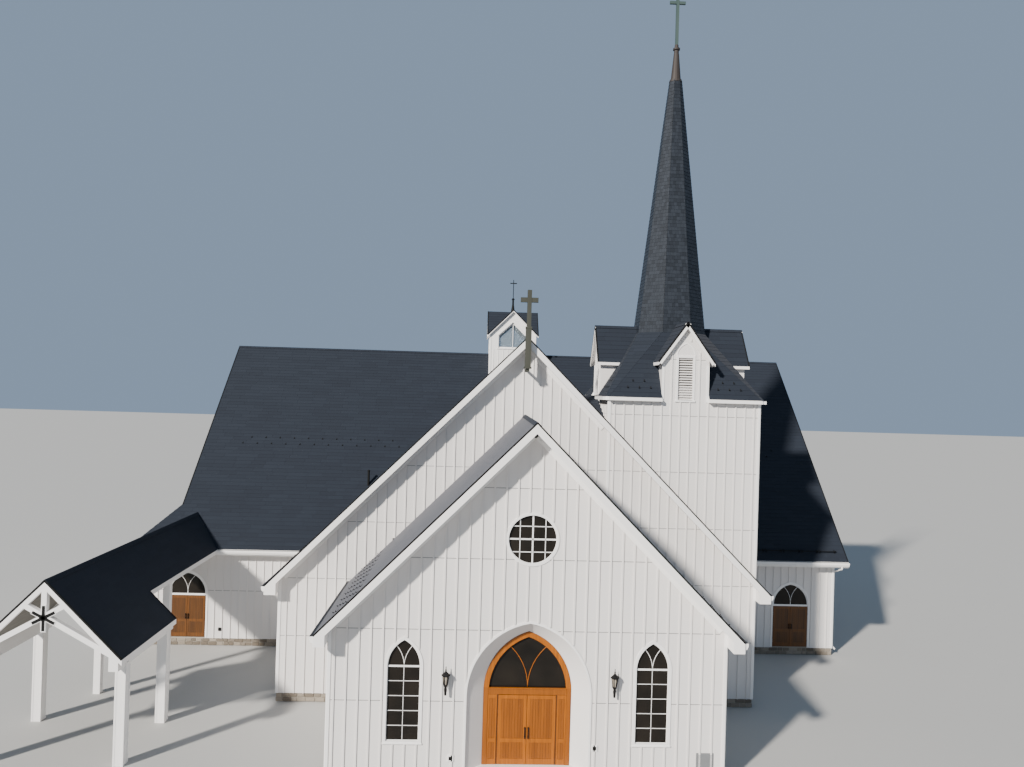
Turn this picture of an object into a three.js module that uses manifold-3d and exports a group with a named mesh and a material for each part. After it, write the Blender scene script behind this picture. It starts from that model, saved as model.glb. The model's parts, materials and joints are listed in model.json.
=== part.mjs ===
import * as THREE from "three";
import Module from "manifold-3d";

// sizes in millimetres, ground level at z 0, street front towards -y
const FRONT_SHIFT = 18000;
const SILL = 370;
const FLOOR = 420;
const WALL = 200;
const ROOF = 300;
const GAP = 0.4;
// reach of cutting solids: past every side of the building, past a wall face, a little past a face
const FAR = 60000;
const PAST = 100;
const OVER = 10;

const NARTHEX = { half: 6850, eave: 7235, apex: 12390, rake: -650, depth: 6680 };
const NAVE = { half: 10220, eave: 10700, front: 6680, rake: 6170 };
const RIDGE = 15700;
const CROSSING = 23780;
const TRANSEPT = { front: 13580, rear: 33980, side: 16900, verge: 17430, eave: 10700 };
const LEAN = { side: 18850, eave: 19330 };
const TOWER = { x: 6900, y: 10000, half: 3320, eave: 3450, top: 13150 };
const TOWER_WAY = { half: 1100, top: 3000 };
const SKIRT = { foot: 13300, head: 16300, chamfer: 120, lining: 180 };
const SPIRE = { foot: 1560, tip: 270, head: 28360, lining: 90, hollow: 60, solid: 1500 };
const DORMER = { half: 1030, eave: 1240, eaveZ: 14850, apex: 16600, rake: 200, roof: 130, wall: 120 };
const LOUVRE = { half: 320, low: 13230, high: 15070, slats: 17, thick: 22, rise: 42, front: 30, back: 110 };
const CUPOLA = {
  half: 1460, eave: 1600, apex: 18450, wall: 150, roof: 120, foot: 13500, rake: 20, ceiling: 17000,
};
const CUPOLA_WINDOW = { half: 900, sill: 16050, shoulder: 16820, apex: 17660, play: 2 };
const CANOPY = { x: -16500, ridge: 6550, wide: 2650, narrow: 1580, roof: 200, front: 350, step: 5100 };
const BENT = { reach: 2370, post: 350, front: 1100, rear: 4620, beam: 160, beamLow: 3500, chord: 180 };
const TRUSS = { heel: 4000, cross: 700, top: 5720, kingLow: 4800, rafter: 60, sink: 42 };
const WALKWAY = { reach: 1400, post: 280, y: 7350, tie: 4700, tieDeep: 240, tieHalf: 100 };

const PORTAL = { half: 2120, spring: 3000, apex: 5510, innerHalf: 1540, innerApex: 5080, depth: 500 };
const MAIN_LEAF = { width: 1025.5, top: 2852, thick: 45, gap: 4.5, bar: 240, play: 8, side: 6.5 };
const MAIN_FRAME = { deep: 140, grow: 60, glass: 60 };
const MAIN_FANLIGHT = { side: 110, spring: 120, apex: 130 };
const SIDE_DOOR = { half: 920, bar: 2540, spring: 2630, apex: 3700, thick: 45, glass: 30 };
const SIDE_DOOR_X = [-16500, 14620];
const LANCET = { x: 4270, half: 560, sill: 1430, spring: 3960, apex: 4870 };
const REAR_LANCET = { half: 560, sill: 1430, spring: 3690, apex: 4600 };
const ROUND = { z: 8370, radius: 830 };
const PANE = 20;
const FRONT_GLASS = 60;
const WALL_TOP = 7000;
const GABLE_WALL = { left: -5500, right: 4000 };
const LEFT_GABLE_LOW = 4600;
const STONE = { inset: 30, portal: 40 };
// stretches of the cross on the nave gable: half width, lowest and highest place, depth
const NAVE_CROSS = {
  set: 60,
  stem: [90, 16120, 17670, 160],
  arm: [370, 17150, 17350, 140],
  collar: [135, 16045, 16130, 260],
  shaft: [122, 14440, 16050, 240],
  plate: [155, 14370, 14450, 290],
  block: [75, 14250, 14380, 150],
};
const NAVE_CROSS_BRACKET = { half: 45, low: 14280, high: 14360 };
const NAVE_CROSS_FLANGE = { half: 70, low: 14255, high: 14370, thick: 30 };
const SPIRE_CROSS = {
  foot: 30100, top: 32800, stem: 68, arm: 375, armLow: 32055, armHigh: 32185, armHalf: 55,
};
const SPIRE_CAP = [
  [285, SPIRE.head], [285, SPIRE.head + 60], [240, SPIRE.head + 70], [125, 29690], [115, 29700],
  [115, 29850], [165, 29860], [165, 29940], [95, 29960], [90, SPIRE_CROSS.foot],
];
const CUPOLA_FINIAL = [
  [150, CUPOLA.apex - 100], [60, CUPOLA.apex + 500], [60, 19250], [110, 19290], [30, 19380],
];
const CUPOLA_CROSS = {
  foot: 19300, top: 20550, stem: 22, arm: 220, armLow: 20300, armHigh: 20360, armHalf: 20,
};
const CRICKET = { left: 1500, ridge: 13300, fall: 0.404, low: 9000 };
const GUTTER = { deep: 130, foot: 85, lip: 20, tall: 210, miter: 1 };
const REAR_LANCET_X = [-12000, -6000, 0, 6000, 12000];
const GLASS_EDGE = 1000;
const GLASS_LAP = 200;
const GABLE_LANCETS = [[-4500, 0], [0, 1500], [4500, 0]];
const RAKE_BOARD = { thick: 60, reveal: 40 };
const HINGE = {
  set: 9, pin: 4, bore: 4.5, barrel: 8, knuckle: 7, web: 4, plate: 60, side: 8, reach: 40, lug: 20,
  strap: 220, play: 0.3, at: [750, 2150],
};

const COLOURS = {
  siding: 0xe4e2e6, roof: 0x232a33, stone: 0x8a8378, trim: 0xf2f1ef, wood: 0xb9661c,
  glass: 0x10161c, slate: 0x6f7176, copper: 0x6d4c3a, bronze: 0x5a5a3c, verdigris: 0x6f9486,
};

const wasm = await Module();
wasm.setup();

const outline = (points) => points.map(([a, b]) => new THREE.Vector2(a, b));

// straight prism of a flat outline: axis z takes (x, y), axis x takes (y, z), axis y takes (x, z)
function prism(axis, points, from, to) {
  const ring = outline(points);
  if (THREE.ShapeUtils.isClockWise(ring)) ring.reverse();
  const caps = THREE.ShapeUtils.triangulateShape(ring, []);
  const place = {
    x: (p, t) => [t, p.x, p.y],
    y: (p, t) => [p.x, t, p.y],
    z: (p, t) => [p.x, p.y, t],
  }[axis];
  const count = ring.length;
  const vertices = [from, to].flatMap((t) => ring.flatMap((p) => place(p, t)));
  const faces = [];
  for (const [a, b, c] of caps) faces.push([a, c, b], [a + count, b + count, c + count]);
  for (let i = 0; i < count; i += 1) {
    const j = (i + 1) % count;
    faces.push([i, j, j + count], [i, j + count, i + count]);
  }
  return solid(vertices, axis === "y" ? faces.map(([a, b, c]) => [a, c, b]) : faces);
}

function solid(vertices, faces) {
  const mesh = new wasm.Mesh({
    numProp: 3,
    vertProperties: new Float32Array(vertices),
    triVerts: new Uint32Array(faces.flat()),
  });
  return new wasm.Manifold(mesh);
}

const box = (x0, x1, y0, y1, z0, z1) =>
  prism("z", [[x0, y0], [x1, y0], [x1, y1], [x0, y1]], z0, z1);

const join = (...pieces) => pieces.reduce((a, b) => a.add(b));
const cut = (piece, ...tools) => tools.reduce((a, b) => a.subtract(b), piece);

// outline of a pointed opening of two equal arcs, set out from its middle line
function pointed(middle, half, low, spring, apex, steps = 10) {
  const rise = apex - spring;
  const radius = (half * half + rise * rise) / (2 * half);
  const end = Math.atan2(rise, radius - half);
  const right = [];
  for (let i = 0; i <= steps; i += 1) {
    const turn = (end * i) / steps;
    right.push([half - radius + radius * Math.cos(turn), spring + radius * Math.sin(turn)]);
  }
  const left = right.slice(0, -1).reverse().map(([a, b]) => [-a, b]);
  return [[-half, low], [half, low], ...right, ...left].map(([a, b]) => [middle + a, b]);
}

// eight-sided ring of a square whose corners are cut back
function ringAt(half, chamfer, z) {
  const s = half - chamfer;
  return [[-s, -half], [s, -half], [half, -s], [half, s], [s, half], [-s, half], [-half, s], [-half, -s]]
    .map(([a, b]) => [TOWER.x + a, TOWER.y + b, z]);
}

function frustum(low, high) {
  const count = low.length;
  const faces = [];
  for (let i = 1; i < count - 1; i += 1) faces.push([0, i + 1, i], [count, count + i, count + i + 1]);
  for (let i = 0; i < count; i += 1) {
    const j = (i + 1) % count;
    faces.push([i, j, j + count], [i, j + count, i + count]);
  }
  return solid([...low, ...high].flat(), faces);
}

// solid between two outlines of like count that face along y
const passage = (near, yNear, far, yFar) =>
  frustum(far.map(([a, b]) => [a, yFar, b]), near.map(([a, b]) => [a, yNear, b]));

const octagon = (half, z) => ringAt(half, half * (2 - Math.SQRT2), z);

// solids that lie below each roof, lowered by a drop
const gable = (middle, half, apex) => [
  [middle - half, 0], [middle + half, 0], [middle + half, apex - half], [middle, apex],
  [middle - half, apex - half],
];
const BELOW = 1000;
const narthexBelow = (drop) => prism("y", gable(0, NARTHEX.apex - BELOW, NARTHEX.apex - drop), -FAR, FAR);
const naveBelow = (drop) => prism("y", gable(0, RIDGE - BELOW, RIDGE - drop), -FAR, FAR);
const transeptBelow = (drop) => prism("x", gable(CROSSING, RIDGE - BELOW, RIDGE - drop), -FAR, FAR);
const leanTop = RIDGE - TRANSEPT.eave;
const leanBelow = (drop) => prism("y", [
  [-LEAN.eave - BELOW, 0], [-NAVE.half, 0], [-NAVE.half, leanTop + LEAN.eave - NAVE.half - drop],
  [-LEAN.eave - BELOW, leanTop - BELOW - drop],
], -FAR, FAR);

const group = new THREE.Group();
group.name = "church";
const walls = [];

function add(name, material, piece) {
  if (name.includes("wall") || name.includes("gable") || name.includes("jamb")) walls.push(piece);
  const mesh = piece.getMesh();
  const geometry = new THREE.BufferGeometry();
  geometry.setAttribute("position", new THREE.BufferAttribute(Float32Array.from(mesh.vertProperties), 3));
  geometry.setIndex(Array.from(mesh.triVerts));
  geometry.translate(0, -FRONT_SHIFT, 0);
  const flat = geometry.toNonIndexed();
  flat.computeVertexNormals();
  const node = new THREE.Mesh(flat, new THREE.MeshStandardMaterial({ color: COLOURS[material] }));
  node.name = name;
  group.add(node);
}

// plan of the building, each block run into the one behind it
const plan = (inset, low, high) => join(
  box(-NARTHEX.half + inset, NARTHEX.half - inset, inset, TRANSEPT.front + PAST, low, high),
  box(-NAVE.half + inset, NAVE.half - inset, NAVE.front + inset, TRANSEPT.front + PAST, low, high),
  box(-LEAN.side + inset, TRANSEPT.side - inset, TRANSEPT.front + inset, TRANSEPT.rear - inset, low, high),
);

// front block
const narthexShell = cut(
  join(
    box(-NARTHEX.half, NARTHEX.half, 0, WALL, SILL, NARTHEX.apex),
    prism("y", pointed(0, PORTAL.half + WALL, SILL, PORTAL.spring, PORTAL.apex + WALL, 14), 0, PORTAL.depth),
    box(-NARTHEX.half, -NARTHEX.half + WALL, 0, NAVE.front, SILL, NARTHEX.apex),
    box(NARTHEX.half - WALL, NARTHEX.half, 0, NAVE.front, SILL, NARTHEX.apex),
  ),
  passage(
    pointed(0, PORTAL.half, 0, PORTAL.spring, PORTAL.apex, 14), 0,
    pointed(0, PORTAL.innerHalf, 0, PORTAL.spring, PORTAL.innerApex, 14), PORTAL.depth,
  ),
  ...[-1, 1].map((s) => prism("y",
    pointed(s * LANCET.x, LANCET.half, LANCET.sill, LANCET.spring, LANCET.apex), -PAST, WALL + PAST)),
).intersect(narthexBelow(ROOF + GAP));
const circle = (radius, count = 32) => Array.from({ length: count }, (_, i) => {
  const turn = (2 * Math.PI * i) / count;
  return [radius * Math.cos(turn), ROUND.z + radius * Math.sin(turn)];
});
for (const [name, x0, x1] of [["left", -NARTHEX.eave, -PORTAL.half], ["right", PORTAL.half, NARTHEX.eave]]) {
  add(`narthex_wall_${name}`, "siding", narthexShell.intersect(box(x0, x1, -PAST, FAR, 0, FAR)));
}
const portalPart = (x0, x1, z0, z1) => narthexShell.intersect(box(x0, x1, 0, NAVE.front / 2, z0, z1));
add("portal_jamb_left", "siding", portalPart(-PORTAL.half, 0, 0, PORTAL.spring));
add("portal_jamb_right", "siding", portalPart(0, PORTAL.half, 0, PORTAL.spring));
add("narthex_wall_gable", "siding", cut(
  portalPart(-PORTAL.half, PORTAL.half, PORTAL.spring, FAR),
  prism("y", circle(ROUND.radius), -PAST, WALL + PAST),
));
for (const s of [-1, 1]) {
  add(`lancet_${s < 0 ? "left" : "right"}`, "glass", prism("y",
    pointed(s * LANCET.x, LANCET.half, LANCET.sill, LANCET.spring, LANCET.apex),
    FRONT_GLASS, FRONT_GLASS + PANE));
}
add("round_window", "glass", prism("y", circle(ROUND.radius), FRONT_GLASS, FRONT_GLASS + PANE));

// gutter hung on the eave at edge towards side s, under a roof whose eave stands at top
const gutter = (axis, edge, s, top, from, to) => prism(axis, [
  [edge, top - GUTTER.lip], [edge + s * GUTTER.deep, top - GUTTER.lip],
  [edge + s * GUTTER.deep, top - GUTTER.lip - GUTTER.tall / 2],
  [edge + s * GUTTER.foot, top - GUTTER.lip - GUTTER.tall], [edge, top - GUTTER.lip - GUTTER.tall],
], from, to);
const slopes = (base, top, tail, drop) => [
  [tail * base.eave, top - base.eave - drop], [tail * base.eave, top - base.eave],
  [0, top], [0, top - drop],
];
for (const s of [-1, 1]) {
  add(`narthex_roof_${s < 0 ? "left" : "right"}`, "roof", join(
    prism("y", slopes(NARTHEX, NARTHEX.apex, s, ROOF), NARTHEX.rake, NARTHEX.depth),
    gutter("y", s * NARTHEX.eave, s, NARTHEX.apex - NARTHEX.eave, NARTHEX.rake, NARTHEX.depth),
  ));
}
// white boards that close a rake, with the boxed eaves that run back from it
function rakeTrim(base, apex, front, back) {
  const { eave } = base;
  const drop = ROOF + RAKE_BOARD.thick;
  const face = prism("y", [
    [-eave, apex - eave - RAKE_BOARD.reveal], [0, apex - RAKE_BOARD.reveal],
    [eave, apex - eave - RAKE_BOARD.reveal], [eave, apex - eave - drop], [0, apex - drop],
    [-eave, apex - eave - drop],
  ], front - RAKE_BOARD.thick, front);
  const inner = base.half + GAP;
  const boxes = [-1, 1].map((s) => prism("y", [
    [s * inner, apex - eave - drop], [s * eave, apex - eave - drop], [s * eave, apex - eave - ROOF - GAP],
    [s * inner, apex - inner - ROOF - GAP],
  ], front - RAKE_BOARD.thick, back));
  return join(face, ...boxes);
}
add("narthex_rake_trim", "trim", rakeTrim(NARTHEX, NARTHEX.apex, NARTHEX.rake, NARTHEX.depth));

// hinge of a leaf hung on its side s at edge x, with its face at y: parts of the leaf and of the jamb
const disc = (radius, x, y, z0, z1, sides = 12) => prism("z", Array.from({ length: sides }, (_, i) => {
  const turn = (2 * Math.PI * (i + 0.5)) / sides;
  return [x + radius * Math.cos(turn), y + radius * Math.sin(turn)];
}), z0, z1);
const span = (a, b, y0, y1, z0, z1) => box(Math.min(a, b), Math.max(a, b), y0, y1, z0, z1);
function hinge(s, x, y, z) {
  const axis = y - HINGE.set;
  const inner = z - HINGE.reach;
  const outer = z + HINGE.reach;
  const leaf = join(
    disc(HINGE.barrel, x, axis, inner, outer),
    span(x, x - s * HINGE.barrel, axis, y, inner, outer),
    span(x, x - s * HINGE.strap, y - HINGE.web, y, inner, outer),
  );
  const lug = (z0, z1) => join(
    disc(HINGE.knuckle, x, axis, z0, z1),
    span(x, x + s * HINGE.plate, axis - HINGE.web, axis + HINGE.web, z0, z1),
    span(x + s * HINGE.side, x + s * HINGE.plate, axis, y, z0, z1),
  );
  return {
    leaf, bore: disc(HINGE.bore, x, axis, inner - HINGE.play, outer + HINGE.play),
    jamb: join(
      lug(inner - HINGE.lug, inner - HINGE.play), lug(outer + HINGE.play, outer + HINGE.lug),
      disc(HINGE.pin, x, axis, inner - HINGE.lug, outer + HINGE.lug),
    ),
  };
}
function hungLeaf(s, edge, middle, y, thick, low, high) {
  const hinges = HINGE.at.map((z) => hinge(s, edge, y, z));
  const slab = span(edge, middle, y, y + thick, low, high);
  return {
    leaf: cut(join(slab, ...hinges.map((h) => h.leaf)), ...hinges.map((h) => h.bore)),
    jamb: join(...hinges.map((h) => h.jamb)),
  };
}

// main door with its fixed side lights and bar
const frameFace = PORTAL.depth + GAP;
const frameBack = frameFace + MAIN_FRAME.deep;
const leafZone = MAIN_LEAF.width + MAIN_LEAF.gap;
const doorZone = leafZone + MAIN_LEAF.side;
const doorHead = MAIN_LEAF.top + MAIN_LEAF.play;
const fanlight = pointed(
  0, PORTAL.innerHalf - MAIN_FANLIGHT.side, doorHead + MAIN_LEAF.bar, PORTAL.spring + MAIN_FANLIGHT.spring,
  PORTAL.innerApex - MAIN_FANLIGHT.apex, 12,
);
const mainLeaves = [-1, 1].map((s) => hungLeaf(
  s, s * leafZone, s * MAIN_LEAF.gap, frameFace, MAIN_LEAF.thick, FLOOR + OVER, MAIN_LEAF.top));
add("main_door_frame", "wood", join(
  cut(
    prism("y", pointed(
      0, PORTAL.innerHalf + MAIN_FRAME.grow, FLOOR, PORTAL.spring, PORTAL.innerApex + MAIN_FRAME.grow, 14,
    ), frameFace, frameBack),
    prism("y", fanlight, frameFace - OVER, frameBack + OVER),
    box(-doorZone, doorZone, frameFace - OVER, frameBack + OVER, FLOOR - OVER, doorHead),
  ),
  ...mainLeaves.map(({ jamb }) => jamb),
));
const mainPane = frameFace + MAIN_FRAME.glass;
add("main_fanlight", "glass", prism("y", fanlight, mainPane, mainPane + PANE));
mainLeaves.forEach(({ leaf }, i) => add(`main_leaf_${i ? "right" : "left"}`, "wood", leaf));

// nave
const naveFront = cut(
  join(
    box(-NAVE.half, TOWER.x - TOWER.half, NAVE.front, NAVE.front + WALL, SILL, RIDGE),
    box(-NAVE.half, -NAVE.half + WALL, NAVE.front, TRANSEPT.front, SILL, RIDGE),
  ),
  box(GABLE_WALL.left, TOWER.x - TOWER.half, NAVE.front - PAST, NAVE.front + WALL + PAST, 0, WALL_TOP),
).intersect(naveBelow(ROOF + GAP));
add("nave_wall_left", "siding", naveFront.intersect(box(-NAVE.eave, GABLE_WALL.left, 0, CROSSING, 0, RIDGE)));
add("nave_wall_gable", "siding", naveFront.intersect(
  box(GABLE_WALL.left, GABLE_WALL.right, 0, CROSSING, WALL_TOP, RIDGE)));

const towerHole = box(
  TOWER.x - TOWER.half - GAP, TOWER.x + TOWER.half + GAP,
  NAVE.front - GAP, TOWER.y + TOWER.half + GAP, 0, FAR,
);
const cupolaHole = box(
  -CUPOLA.half - GAP, CUPOLA.half + GAP, CROSSING - CUPOLA.half - GAP, CROSSING + CUPOLA.half + GAP, 0, FAR,
);
const naveSlab = cut(naveBelow(0), naveBelow(ROOF));
const crossSlab = cut(transeptBelow(0), transeptBelow(ROOF));
const navePlan = (s) => [
  [0, NAVE.rake], [s * NAVE.eave, NAVE.rake], [s * NAVE.eave, CROSSING - NAVE.eave], [0, CROSSING],
];
const frontEave = CROSSING - TRANSEPT.eave;
const rearEave = CROSSING + TRANSEPT.eave;
const naveGutter = (s) => gutter(
  "y", s * NAVE.eave, s, RIDGE - NAVE.eave, NAVE.rake, frontEave - GUTTER.deep - GUTTER.miter);
add("nave_roof_left", "roof", cut(
  naveSlab.intersect(prism("z", navePlan(-1), 0, FAR)), cupolaHole,
).add(naveGutter(-1)));
add("nave_roof_right", "roof", cut(
  naveSlab.intersect(prism("z", navePlan(1), 0, FAR)), towerHole, cupolaHole,
).add(naveGutter(1)));
add("nave_rake_trim", "trim", rakeTrim(NAVE, RIDGE, NAVE.rake, CROSSING - TRANSEPT.eave - GAP));

// cross on the nave gable, clear of the rake boards and carried from the wall
const { set, ...stretches } = NAVE_CROSS;
const crossMiddle = NAVE.rake - RAKE_BOARD.thick - set - stretches.plate[3] / 2;
const bracket = ({ half, low, high }, from) => box(-half, half, from, NAVE.front - GAP, low, high);
add("nave_cross", "bronze", join(
  ...Object.values(stretches).map(([half, low, high, deep]) =>
    box(-half, half, crossMiddle - deep / 2, crossMiddle + deep / 2, low, high)),
  bracket(NAVE_CROSS_BRACKET, crossMiddle),
  bracket(NAVE_CROSS_FLANGE, NAVE.front - NAVE_CROSS_FLANGE.thick),
));

// transept walls with their door openings
const doorCut = (x) => prism("y",
  pointed(x, SIDE_DOOR.half, 0, SIDE_DOOR.spring, SIDE_DOOR.apex),
  TRANSEPT.front - PAST, TRANSEPT.front + WALL + PAST);
const frontWall = cut(
  box(-LEAN.side, TRANSEPT.side, TRANSEPT.front, TRANSEPT.front + WALL, SILL, WALL_TOP),
  ...SIDE_DOOR_X.map(doorCut),
).intersect(transeptBelow(ROOF + GAP)).intersect(
  leanBelow(ROOF + GAP).add(box(-TRANSEPT.verge, FAR, 0, FAR, 0, FAR)));
const strip = (piece, x0, x1) => piece.intersect(box(x0, x1, 0, FAR, 0, FAR));
const [leftX, rightX] = SIDE_DOOR_X;
const doorHalf = SIDE_DOOR.half;
const doorGlass = TRANSEPT.front + SIDE_DOOR.glass;
const sideLeaves = SIDE_DOOR_X.map((x) => [-1, 1].map((s) => hungLeaf(
  s, x + s * (doorHalf - MAIN_LEAF.side), x + s * MAIN_LEAF.gap, TRANSEPT.front + GAP, SIDE_DOOR.thick,
  FLOOR + OVER, SIDE_DOOR.bar - MAIN_LEAF.play)));
const withJamb = (piece, door, side) => piece.add(sideLeaves[door][side].jamb);
add("transept_wall_over_left_door", "siding", strip(frontWall, leftX - doorHalf, leftX + doorHalf));
add("transept_wall_left", "siding", withJamb(strip(frontWall, leftX + doorHalf, -NAVE.half + WALL), 0, 1));
add("transept_wall_right", "siding", withJamb(strip(frontWall, NAVE.half - WALL, rightX - doorHalf), 1, 0));
add("transept_wall_over_right_door", "siding", strip(frontWall, rightX - doorHalf, rightX + doorHalf));
add("transept_wall_outer_right", "siding",
  withJamb(strip(frontWall, rightX + doorHalf, TRANSEPT.side), 1, 1));
const leanWalls = cut(
  join(
    box(-LEAN.side, leftX - doorHalf, TRANSEPT.front, TRANSEPT.front + WALL, SILL, WALL_TOP),
    box(-LEAN.side, -TRANSEPT.side, TRANSEPT.front + WALL, TRANSEPT.rear, SILL, WALL_TOP),
  ),
  box(-LEAN.side + WALL, 0, TRANSEPT.front + WALL, TRANSEPT.rear - WALL, 0, FAR),
).intersect(leanBelow(ROOF + GAP)).intersect(transeptBelow(ROOF + GAP));
add("lean_to_walls", "siding", withJamb(leanWalls, 0, 0));
const rearLancets = REAR_LANCET_X.map((x) => prism("y",
  pointed(x, REAR_LANCET.half, REAR_LANCET.sill, REAR_LANCET.spring, REAR_LANCET.apex),
  TRANSEPT.rear - WALL - PAST, TRANSEPT.rear + PAST));
add("rear_wall", "siding", cut(
  box(-TRANSEPT.side, TRANSEPT.side, TRANSEPT.rear - WALL, TRANSEPT.rear, SILL, WALL_TOP), ...rearLancets,
).intersect(transeptBelow(ROOF + GAP)));
const [rearLeft, rearRight] = [REAR_LANCET_X[0], REAR_LANCET_X.at(-1)];
add("rear_glass", "glass", box(
  rearLeft - GLASS_EDGE, rearRight + GLASS_EDGE, TRANSEPT.rear - WALL - PANE, TRANSEPT.rear - WALL,
  REAR_LANCET.sill - GLASS_LAP, REAR_LANCET.apex + GLASS_LAP,
));
const gableEnd = (x0, x1, low) => box(
  x0, x1, TRANSEPT.front + WALL, TRANSEPT.rear - WALL, low, RIDGE,
).intersect(transeptBelow(ROOF + GAP));
add("transept_gable_left", "siding", gableEnd(-TRANSEPT.side, -TRANSEPT.side + WALL, LEFT_GABLE_LOW));
const gableLancets = GABLE_LANCETS.map(([y, up]) => prism("x",
  pointed(CROSSING + y, LANCET.half, LANCET.sill, LANCET.spring + up, LANCET.apex + up),
  TRANSEPT.side - WALL - PAST, TRANSEPT.side + PAST));
add("transept_gable_right", "siding",
  cut(gableEnd(TRANSEPT.side - WALL, TRANSEPT.side, SILL), ...gableLancets));
add("gable_glass", "glass", box(
  TRANSEPT.side - WALL - PANE, TRANSEPT.side - WALL,
  CROSSING + GABLE_LANCETS[0][0] - GLASS_EDGE, CROSSING + GABLE_LANCETS[2][0] + GLASS_EDGE,
  LANCET.sill - GLASS_LAP, LANCET.apex + GABLE_LANCETS[1][1] + GLASS_LAP,
));

// transept roofs
const hip = LEAN.eave - TRANSEPT.verge;
const eaveTop = RIDGE - TRANSEPT.eave;
const frontGutter = (x0, x1) => gutter("x", frontEave, -1, eaveTop, x0, x1);
const corner = TRANSEPT.eave + GUTTER.miter;
add("transept_roof_left", "roof", cut(crossSlab.intersect(prism("z", [
  [-TRANSEPT.verge, CROSSING], [-TRANSEPT.verge, frontEave + hip], [-LEAN.eave, frontEave],
  [-TRANSEPT.eave - GAP, frontEave], [-GAP, CROSSING],
], 0, FAR)), cupolaHole).add(join(
  frontGutter(CANOPY.x + CANOPY.narrow + GUTTER.miter, -corner),
  frontGutter(-LEAN.eave - GUTTER.deep, CANOPY.x - CANOPY.narrow - GUTTER.miter),
)));
add("transept_roof_right", "roof", cut(crossSlab.intersect(prism("z", [
  [GAP, CROSSING], [TRANSEPT.eave + GAP, frontEave], [TRANSEPT.verge, frontEave], [TRANSEPT.verge, CROSSING],
], 0, FAR)), cupolaHole).add(frontGutter(corner, TRANSEPT.verge)));
add("rear_roof", "roof", cut(crossSlab.intersect(prism("z", [
  [-TRANSEPT.verge, CROSSING], [TRANSEPT.verge, CROSSING], [TRANSEPT.verge, rearEave], [-LEAN.eave, rearEave],
  [-TRANSEPT.verge, rearEave - hip],
], 0, FAR)), cupolaHole).add(gutter("x", rearEave, 1, eaveTop, -LEAN.eave - GUTTER.deep, TRANSEPT.verge)));
const leanSlab = cut(leanBelow(0), leanBelow(ROOF));
add("lean_to_roof", "roof", join(
  leanSlab.intersect(prism("z", [
    [-LEAN.eave, frontEave], [-TRANSEPT.verge, frontEave + hip], [-TRANSEPT.verge, rearEave - hip],
    [-LEAN.eave, rearEave],
  ], 0, FAR)),
  leanSlab.intersect(transeptBelow(ROOF + GAP)).intersect(
    box(-TRANSEPT.verge, -TRANSEPT.side - GAP, frontEave, rearEave, 0, FAR)),
  gutter("y", -LEAN.eave, -1, leanTop, frontEave + GUTTER.miter, rearEave - GUTTER.miter),
));

// side doors
["left", "right"].forEach((name, i) => {
  add(`${name}_fanlight`, "glass", prism("y",
    pointed(SIDE_DOOR_X[i], doorHalf, SIDE_DOOR.bar, SIDE_DOOR.spring, SIDE_DOOR.apex),
    doorGlass, doorGlass + PANE));
  sideLeaves[i].forEach(({ leaf }, k) => add(`${name}_leaf_${k ? "right" : "left"}`, "wood", leaf));
});

// tower
const { x: tx, y: ty } = TOWER;
const about = (x0, x1, y0, y1, z0, z1) => box(tx + x0, tx + x1, ty + y0, ty + y1, z0, z1);
const skirtRing = (grow, z) => ringAt(TOWER.eave + grow, SKIRT.chamfer, z);
const skirtSolid = (grow, drop = 0) => join(
  frustum(skirtRing(grow, TOWER.top - drop), skirtRing(grow, SKIRT.foot)),
  frustum(skirtRing(grow, SKIRT.foot), octagon(SPIRE.foot + grow, SKIRT.head)),
);
const spireSolid = (grow) =>
  frustum(octagon(SPIRE.foot + grow, SKIRT.head), octagon(SPIRE.tip + grow, SPIRE.head));
const dormerRise = (DORMER.apex - DORMER.eaveZ) / DORMER.eave;
const dormerOutline = (reach, drop, low) => [
  [-reach, low], [reach, low], [reach, DORMER.apex - dormerRise * reach - drop], [0, DORMER.apex - drop],
  [-reach, DORMER.apex - dormerRise * reach - drop],
];
// the same prism set out on each of the four sides of the tower
function onSides(points, from, to) {
  const shift = (middle) => points.map(([a, b]) => [middle + a, b]);
  return [
    prism("y", shift(tx), ty - to, ty - from), prism("y", shift(tx), ty + from, ty + to),
    prism("x", shift(ty), tx - to, tx - from), prism("x", shift(ty), tx + from, tx + to),
  ];
}
const band = (reach, z0, z1) => [[-reach, z0], [reach, z0], [reach, z1], [-reach, z1]];
const inside = TOWER.half - WALL;
const core = about(-inside, inside, -inside, inside, 0, TOWER.top);
const dormerTop = dormerOutline(DORMER.half, DORMER.roof + GAP, TOWER.top);
const dormerRoom = dormerOutline(DORMER.half - DORMER.wall, DORMER.roof + DORMER.wall, TOWER.top - OVER);
const cheeks = cut(
  join(...onSides(dormerTop, DORMER.half, TOWER.half)),
  ...onSides(dormerRoom, 0, inside),
  skirtSolid(GAP, ROOF).subtract(join(...onSides(band(DORMER.half, 0, FAR), inside, FAR))),
  spireSolid(GAP),
);
const towerTube = cut(
  about(-TOWER.half, TOWER.half, -TOWER.half, TOWER.half, SILL, TOWER.top).add(
    about(inside, TOWER.half, TOWER.half - OVER, TRANSEPT.front - ty, SILL, TOWER.top)
      .intersect(naveBelow(ROOF + GAP))),
  core,
  about(-TOWER.half - OVER, -inside + OVER, -TOWER_WAY.half, TOWER_WAY.half, FLOOR, TOWER_WAY.top),
);
const slatPitch = (LOUVRE.high - LOUVRE.low) / LOUVRE.slats;
const slatsOn = (side) => Array.from({ length: LOUVRE.slats }, (_, i) => {
  const z = LOUVRE.low + slatPitch * i + LOUVRE.thick;
  const [front, back] = [LOUVRE.front - TOWER.half, LOUVRE.back - TOWER.half];
  return prism("x", [
    [front, z], [back, z + LOUVRE.rise], [back, z + LOUVRE.rise + LOUVRE.thick], [front, z + LOUVRE.thick],
  ], -LOUVRE.half - OVER, LOUVRE.half + OVER).rotate([0, 0, 90 * side]).translate([tx, ty, 0]);
});
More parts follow.
